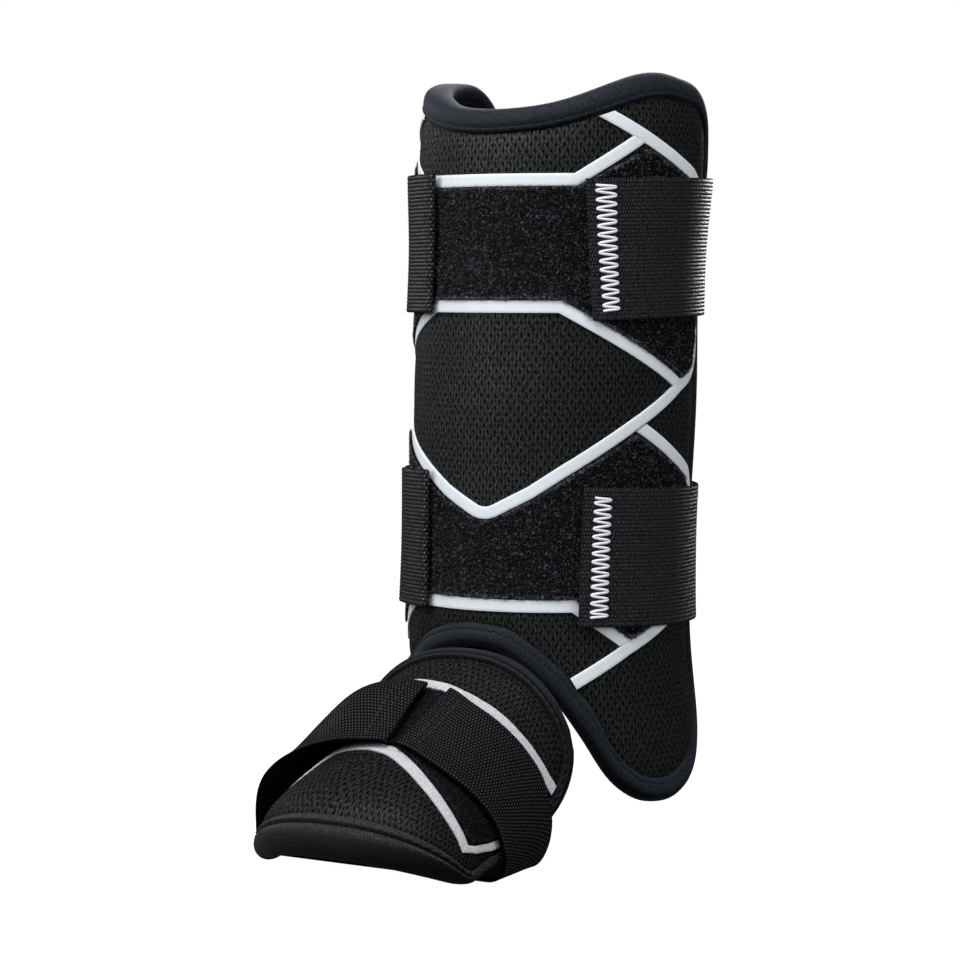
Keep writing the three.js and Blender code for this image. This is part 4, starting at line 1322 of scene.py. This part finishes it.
def ribbed_section(width, thick, pitch, ribs):
    """Points of the section: share of the width, height, and millimetres round it for the weave."""
    count = round(width / pitch)
    place = np.linspace(0, 1, count * 4 + 1)[1:-1]
    up = thick / 2 - ribs * (1 - np.abs(np.sin(place * count * math.pi)))
    edge = thick / width * 0.35
    share = edge + (1 - 2 * edge) * place
    girth = count * pitch
    front = np.stack([share, up, place * girth], -1)
    back = np.stack([share, -up, (2 - place) * girth], -1)[::-1]
    first = [(edge * 0.3, thick * 0.3, 0)]
    turn = [(1 - edge * 0.3, thick * 0.3, girth), (1, 0, girth), (1 - edge * 0.3, -thick * 0.3, girth)]
    last = [(edge * 0.3, -thick * 0.3, 2 * girth), (0, 0, 2 * girth)]
    return np.concatenate([first, front, turn, back, last])


def folded_path(full, fold):
    lift = STRAP_THICK / 2
    radius = STRAP_THICK / 2 + 0.03
    out = [(x, lift, 0.0) for x in np.linspace(0, full, 140)]
    bend = np.linspace(0, math.pi, 9)[1:-1]
    turn = [(full + radius * math.sin(a), lift + radius * (1 - math.cos(a)), a) for a in bend]
    home = [(x, lift + 2 * radius, math.pi) for x in np.linspace(full, full - fold * ARC, 16)]
    return np.array(out + turn + home)


print("points in the folded path:", len(folded_path(strap_length("upper"), STRAP_FOLD)))

# %% Make the calf straps
RIB_DEPTH = 0.2
RIB_PITCH = 1.4


def calf_strap(key):
    bottom, top = STRAPS[key][:2]
    section = ribbed_section(top - bottom, STRAP_THICK, RIB_PITCH, RIB_DEPTH)
    path = folded_path(strap_length(key), STRAP_FOLD)
    x = path[:, 0, None] - section[None, :, 1] * np.sin(path[:, 2])[:, None]
    up = path[:, 1, None] + section[None, :, 1] * np.cos(path[:, 2])[:, None]
    t = np.broadcast_to(section[None, :, 0], x.shape)
    piece = loft("calf_strap_" + key, strap_point(key, t, x, up), angle=35, across=section[:, 2] * MM)
    dress(piece, ["strap_" + key], "webbing", elastic)
    print("cut length mm:", round(np.hypot(*np.diff(path[:, :2], axis=0).T).sum()))
    return piece


calf_straps = [calf_strap(key) for key in STRAPS]

# %% Light for the ribs
rim_lit = bpy.data.collections.new("rim_lit")
for piece in calf_straps:
    rim_lit.objects.link(piece)
bpy.data.objects["back_box"].light_linking.receiver_collection = rim_lit

# %% [markdown]
# ## Zigzag seams
# The hook patch under each outer end is sewn on with a bold pale zigzag, close at both ends where the
# seam is locked. A bump in the webbing would not stand proud or throw a shadow, as this thread does.
# So it is one tube along a rounded zigzag that dips into the webbing at every turn.

# %% Zigzag
ZIGZAG_RADIUS = 0.5
ZIGZAG_TURNS = 12
ZIGZAGS = {
    # near side at top and bottom, far side at top and bottom, highest and lowest share of the strap
    "upper": (3.2, 3.8, 10.0, 9.3, 0.955, 0.065),
    "lower": (3.9, 4.1, 9.6, 9.9, 0.93, 0.068),
}


def zigzag(key):
    near_top, near_bottom, far_top, far_bottom, high, low = ZIGZAGS[key]
    lock = np.array([0, 0.02, 0.045])
    middle = np.linspace(0.085, 0.915, 2 * ZIGZAG_TURNS + 1)
    knots = np.concatenate([lock, middle, 1 - lock[::-1]])
    s = np.linspace(0, len(knots) - 1, (len(knots) - 1) * 10 + 1)
    share = np.interp(s, np.arange(len(knots)), knots)
    swing = -np.cos(s * math.pi)
    swing = np.sign(swing) * np.abs(swing) ** 0.8
    t = high + (low - high) * share
    near = near_bottom + (near_top - near_bottom) * t
    far = far_bottom + (far_top - far_bottom) * t
    x = (near + far) / 2 + swing * (far - near) / 2
    up = STRAP_THICK + 0.32 - 0.4 * np.abs(swing) ** 6
    path = strap_point(key, t, x, up)
    out = strap_point(key, t, x, up + 1) - path
    piece = loft("zigzag_" + key, tube_rings(path, out, np.full(len(path), ZIGZAG_RADIUS * MM), 8), angle=60)
    dress(piece, [], None, pale_thread)


zigzag("upper")
zigzag("lower")

# %% [markdown]
# ## The foot guard
# The instep guard is made like the shin shell: a padded cover with a coarser mesh, a rolled edge that
# is widest at the toe, a pile panel, two flocked lines and a strap. It is only a different surface, so
# the same helpers make it.

# %% Cut the foot cover flat and give it its wall
FOOT_WALL = 8.5
COVER_SHARE = 0.96
columns, rows = 96, 84
foot_cover, i, k = cut("foot_cover", columns, rows)
along = foot_alongs(rows, COVER_SHARE)[k]
across = foot_reach(along, COVER_SHARE) * (2 * i / columns - 1)
put(foot_cover, np.stack([across * FOOT_ARC, along * FOOT_LENGTH, np.zeros_like(along)], -1) * MM)
pattern_uv(foot_cover, across * FOOT_ARC * MM, along * FOOT_LENGTH * MM)
give_wall(foot_cover, FOOT_WALL * MM, offset=-1, lining=1)
print("flat width of the foot cover mm:", round((across.max() - across.min()) * FOOT_ARC))

# %% Wrap the foot cover
FOOT_SEAM_PULL = 1.2
FOOT_SEAM_ROLL = 2.6
flat = points(foot_cover) / MM
across, along, depth = flat[:, 0] / FOOT_ARC, flat[:, 1] / FOOT_LENGTH, flat[:, 2]
to_ankle = along - COVER_SHARE * FOOT_BANDS["ankle"]
to_toe = 1 - COVER_SHARE * FOOT_BANDS["toe"] - along
to_side = (foot_reach(along, COVER_SHARE) - np.abs(across)) * FOOT_ARC
to_seam = np.minimum(np.minimum(to_ankle, to_toe) * FOOT_LENGTH, to_side)
pull = FOOT_SEAM_PULL * np.exp(-np.maximum(to_seam, 0) / FOOT_SEAM_ROLL)
outside = depth > -FOOT_WALL / 2
put(foot_cover, on_foot(along, across, depth + np.where(outside, -pull, pull)))
sew_up(foot_cover, fill=False, angle=60)
dress(foot_cover, ["foot_shell"], "mesh_cover", foot_mesh, foot_knit)

# %% Bind and stitch the foot edge
FOOT_FACE = (
    # share of the band, height
    (1.05, -1.0),
    (1.0, -0.2),
    (0.96, 0.4),
    (0.88, 0.6),
    (0.8, 0.45),
    (0.76, -0.3),
    (0.72, 0.35),
    (0.66, 0.8),
)
ANKLE_BEHIND = -0.1  # the edge is ankle knit behind this y, in metres


def foot_outline(share):
    alongs = foot_alongs(48, share)
    reach = foot_reach(alongs, share)
    outer = np.stack([alongs, reach], -1)
    inner = np.stack([alongs, -reach], -1)[::-1]
    toe = np.linspace(outer[-1], inner[0], 60)[1:-1]
    ankle = np.linspace(inner[-1], outer[0], 60)[1:-1]
    return np.concatenate([outer, toe, inner, ankle])


foot_section = rolled_section(FOOT_WALL, FOOT_FACE, 0.62)
foot_edge = bind_edge("foot_edge", "foot_binding", foot_section, foot_outline, on_foot, foot_knit)
foot_edge.data.materials.append(ankle_knit)
for face in foot_edge.data.polygons:
    face.material_index = 1 if face.center.y > ANKLE_BEHIND else 0
stitch_edge("foot_edge_stitches", foot_outline, on_foot)

# %% Foot lines
FOOT_LINE_REAR = (
    # across, along
    (-77, 0.165),
    (-70, 0.185),
    (-46, 0.205),
    (-25, 0.21),
    (-10, 0.217),
    (0, 0.233),
    (11.4, 0.253),
    (21.7, 0.259),
    (34, 0.253),
    (46, 0.242),
    (60, 0.216),
    (71, 0.189),
    (77, 0.166),
)
FOOT_LINE_FRONT = (
    (-79, 0.55),
    (-76, 0.64),
    (-72, 0.725),
    (-67, 0.765),
    (-56, 0.68),
    (-42, 0.58),
    (-28, 0.538),
    (-14, 0.545),
    (-6, 0.55),
    (0.5, 0.564),
    (12, 0.61),
    (26.4, 0.663),
    (40, 0.707),
    (52.4, 0.745),
    (61.6, 0.774),
    (67.5, 0.8),
    (72.5, 0.757),
    (76.6, 0.672),
    (79, 0.58),
)
FOOT_LINE_WIDTH = 3.4
FOOT_LINES = (
    ("foot_line_rear", "foot_trim_rear", FOOT_LINE_REAR),
    ("foot_line_front", "foot_trim_front", FOOT_LINE_FRONT),
)
for name, node, rows in FOOT_LINES:
    corners = [(across * FOOT_ARC, along * FOOT_LENGTH) for across, along in rows]
    draw_line(name, node, corners, foot_pattern, "foot_line", flocked_film, width=FOOT_LINE_WIDTH)

# %% [markdown]
# ## Foot strap
# One strap goes over the instep and under the sole. It stands off the inner side, where it bridges
# from the ridge to the sole. A flat ribbon with Solidify would have square edges, and webbing is
# round there, so rings of its own section are lofted along the path. The path has three kinds of
# stretch: over the guard, round the corner of the sole, and straight across under it.

# %% Foot strap over the guard
FOOT_STRAP_SIDE = 86.0
FOOT_STRAP_BASE = 2.25
FOOT_STRAP_EDGES = (
    # across, back, front, slack at the back, slack at the front, bulge between
    (-86, 0.25, 0.62, 3, 11, 0),
    (-62, 0.245, 0.62, 1.0, 9.5, 1.5),
    (-40, 0.24, 0.605, 0.8, 5.2, 3.6),
    (-24, 0.242, 0.585, 1.6, 2.6, 4.4),
    (-8, 0.248, 0.57, 0.7, 0.6, 2.2),
    (0, 0.255, 0.566, 0.1, 0.2, 0.4),
    (8, 0.263, 0.575, 0, 0, 0),
    (20, 0.29, 0.602, 0, 0, 0),
    (36, 0.29, 0.62, 0, 0, 0),
    (52, 0.27, 0.62, 0, 0, 0),
    (68, 0.24, 0.625, 0, 0, 0),
    (86, 0.23, 0.658, 0, 0, 0),
)
FOOT_STRAP_ENDS = {1: (8.1, 4.6), -1: (-1.4, 0.1)}
BULGE_TOP = 6.75  # brings the top of t * (1 - t) ** 2 to one


def foot_strap_side(sign, share, t, up):
    back, front = FOOT_STRAP_ENDS[sign]
    end = back + (front - back) * t
    across = end + (sign * FOOT_STRAP_SIDE - end) * share
    rear, fore, low, high, bulge = (read_curve(FOOT_STRAP_EDGES, across, c) for c in range(1, 6))
    slack = low + (high - low) * t + bulge * BULGE_TOP * t * (1 - t) ** 2
    return on_foot(rear + (fore - rear) * t, across, FOOT_STRAP_BASE + up + slack)


print("foot strap at its outer side:", foot_strap_side(1, 1.0, 0.5, 0.0).round(4))

# %% Foot strap round the corners and under the sole
FOOT_STRAP_THICK = 1.7
FOOT_STRAP_SOLE = (-82.0, -112.0)  # y of its back and front edge
SOLE_HEIGHT = -142.6
SOLE_CORNER = 9.0


def foot_strap_rings(section):
    t = section[:, 0]
    up = FOOT_STRAP_THICK / 2 + section[:, 1]
    sole = (SOLE_HEIGHT + FOOT_STRAP_THICK - up) * MM
    sole_y = (FOOT_STRAP_SOLE[0] + (FOOT_STRAP_SOLE[1] - FOOT_STRAP_SOLE[0]) * t) * MM
    halves = []
    for sign in (1, -1):
        over = [foot_strap_side(sign, s, t, up) for s in np.linspace(0, 1, 60)]
        last = over[-1]
        corner = []
        for s in np.linspace(0, 1, 12)[1:]:
            x = last[:, 0] - sign * SOLE_CORNER * MM * (1 - math.cos(s * math.pi / 2))
            z = last[:, 2] + (sole - last[:, 2]) * math.sin(s * math.pi / 2)
            corner.append(np.stack([x, last[:, 1] + (sole_y - last[:, 1]) * s, z], -1))
        halves.append(over + corner)
    outer, inner = halves[0], halves[1][::-1]
    under = [outer[-1] + (inner[0] - outer[-1]) * s for s in np.linspace(0, 1, 24)[1:-1]]
    return np.stack(outer + under + inner)


# %% Make the foot strap
FOOT_STRAP_WIDTH = 30.0
FOOT_RIB_PITCH = 1.5
FOOT_RIB_DEPTH = 0.02
section = ribbed_section(FOOT_STRAP_WIDTH, FOOT_STRAP_THICK, FOOT_RIB_PITCH, FOOT_RIB_DEPTH)
rings = foot_strap_rings(section)
instep_strap = loft("instep_strap", rings, angle=35, across=section[:, 2] * MM)
dress(instep_strap, ["foot_strap"], "webbing", strap_weave)
print("cut length mm:", round(np.linalg.norm(np.diff(rings.mean(1), axis=0), axis=1).sum() / MM))

# %% Stitches at the ends of the foot strap
END_STITCH = (2.2 * MM, 0.8 * MM, 0.5 * MM)  # length, gap, thickness
END_SEAMS = (0.06, 0.1)  # shares of the way from the end to the sole
t = np.linspace(0.08, 0.92, 40)
for sign, name in ((1, "outer"), (-1, "inner")):
    for row, share in enumerate(END_SEAMS):
        line, out = surface_line(partial(foot_strap_side, sign), share, t, FOOT_STRAP_THICK)
        stitch_row(f"instep_stitches_{name}_{row}", line, out, *END_STITCH, dark_thread)

# %% [markdown]
# ## The ankle tongue
# A strip of the same knit joins the two guards at the ankle. It is nearly hidden, but it shows from
# above and behind. It comes down inside the front of the shell and runs on under the instep guard.
# A bent plane would have to be fitted to both by hand. Here each column of the strip is a smooth
# curve through a few places on the two surfaces, so it follows them by itself.

# %% A strip of the tongue
TONGUE_HALF = 22.0
TONGUE_THICK = 3.0
TONGUE_GAPS = {"shin": 1.05, "foot": 0.35}


def tongue_column(angle, depth):
    inside = -SHIN_WALL - TONGUE_GAPS["shin"] - depth
    under = -FOOT_WALL - TONGUE_GAPS["foot"] - depth
    knots = np.array(
        [
            on_shin(angle, -42, inside),
            on_shin(angle, -58, inside),
            on_shin(angle, shin_limit("bottom", angle, 0) - 3 - depth * 0.6, inside),
            on_foot(0.06, angle, under - 4.5),
            on_foot(0.22, angle, under - 0.6),
            on_foot(0.36, angle, under - 0.1),
        ]
    )
    run = np.concatenate([[0], np.cumsum(np.sqrt(np.linalg.norm(np.diff(knots, axis=0), axis=1)))])
    at = np.linspace(0, run[-1], 60)
    return np.stack([read_curve(np.stack([run, knots[:, c]], -1), at, 1) for c in range(3)], -1)


steps = np.diff(tongue_column(np.float64(0), 0.0), axis=0)
print("length of the strip mm:", round(np.linalg.norm(steps, axis=1).sum() / MM))

# %% Make the ankle tongue
angles = np.linspace(-TONGUE_HALF, TONGUE_HALF, 25)
front = np.stack([tongue_column(np.float64(a), 0.0) for a in angles], 1)
rear = np.stack([tongue_column(np.float64(a), TONGUE_THICK) for a in angles], 1)
tongue = loft("ankle_strip", np.concatenate([front, rear[:, ::-1]], 1), angle=50)
dress(tongue, ["ankle_tongue"], "edge_binding", edge_knit)

# %% [markdown]
# ## Light for the back
# The back is lit by a box of its own, so that the lining and the straps can be read from behind. Light
# linking keeps it off the foot guard, which would otherwise glow from within under the toe.

# %% Light for the back
rear_lit = bpy.data.collections.new("rear_lit")
for piece in dressed:
    if piece not in (foot_cover, foot_edge, instep_strap):
        rear_lit.objects.link(piece)
bpy.data.objects["rear_box"].light_linking.receiver_collection = rear_lit

# %% [markdown]
# ## Measure and finish
# The dressed guard has to stay the size of its solids, so both boxes are written down side by side.

# %% Measure and finish
visual_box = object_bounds()
for label, box in (("solids", cad_box), ("dressed", visual_box)):
    print(label, [round(c, 4) for c in box[1] - box[0]])
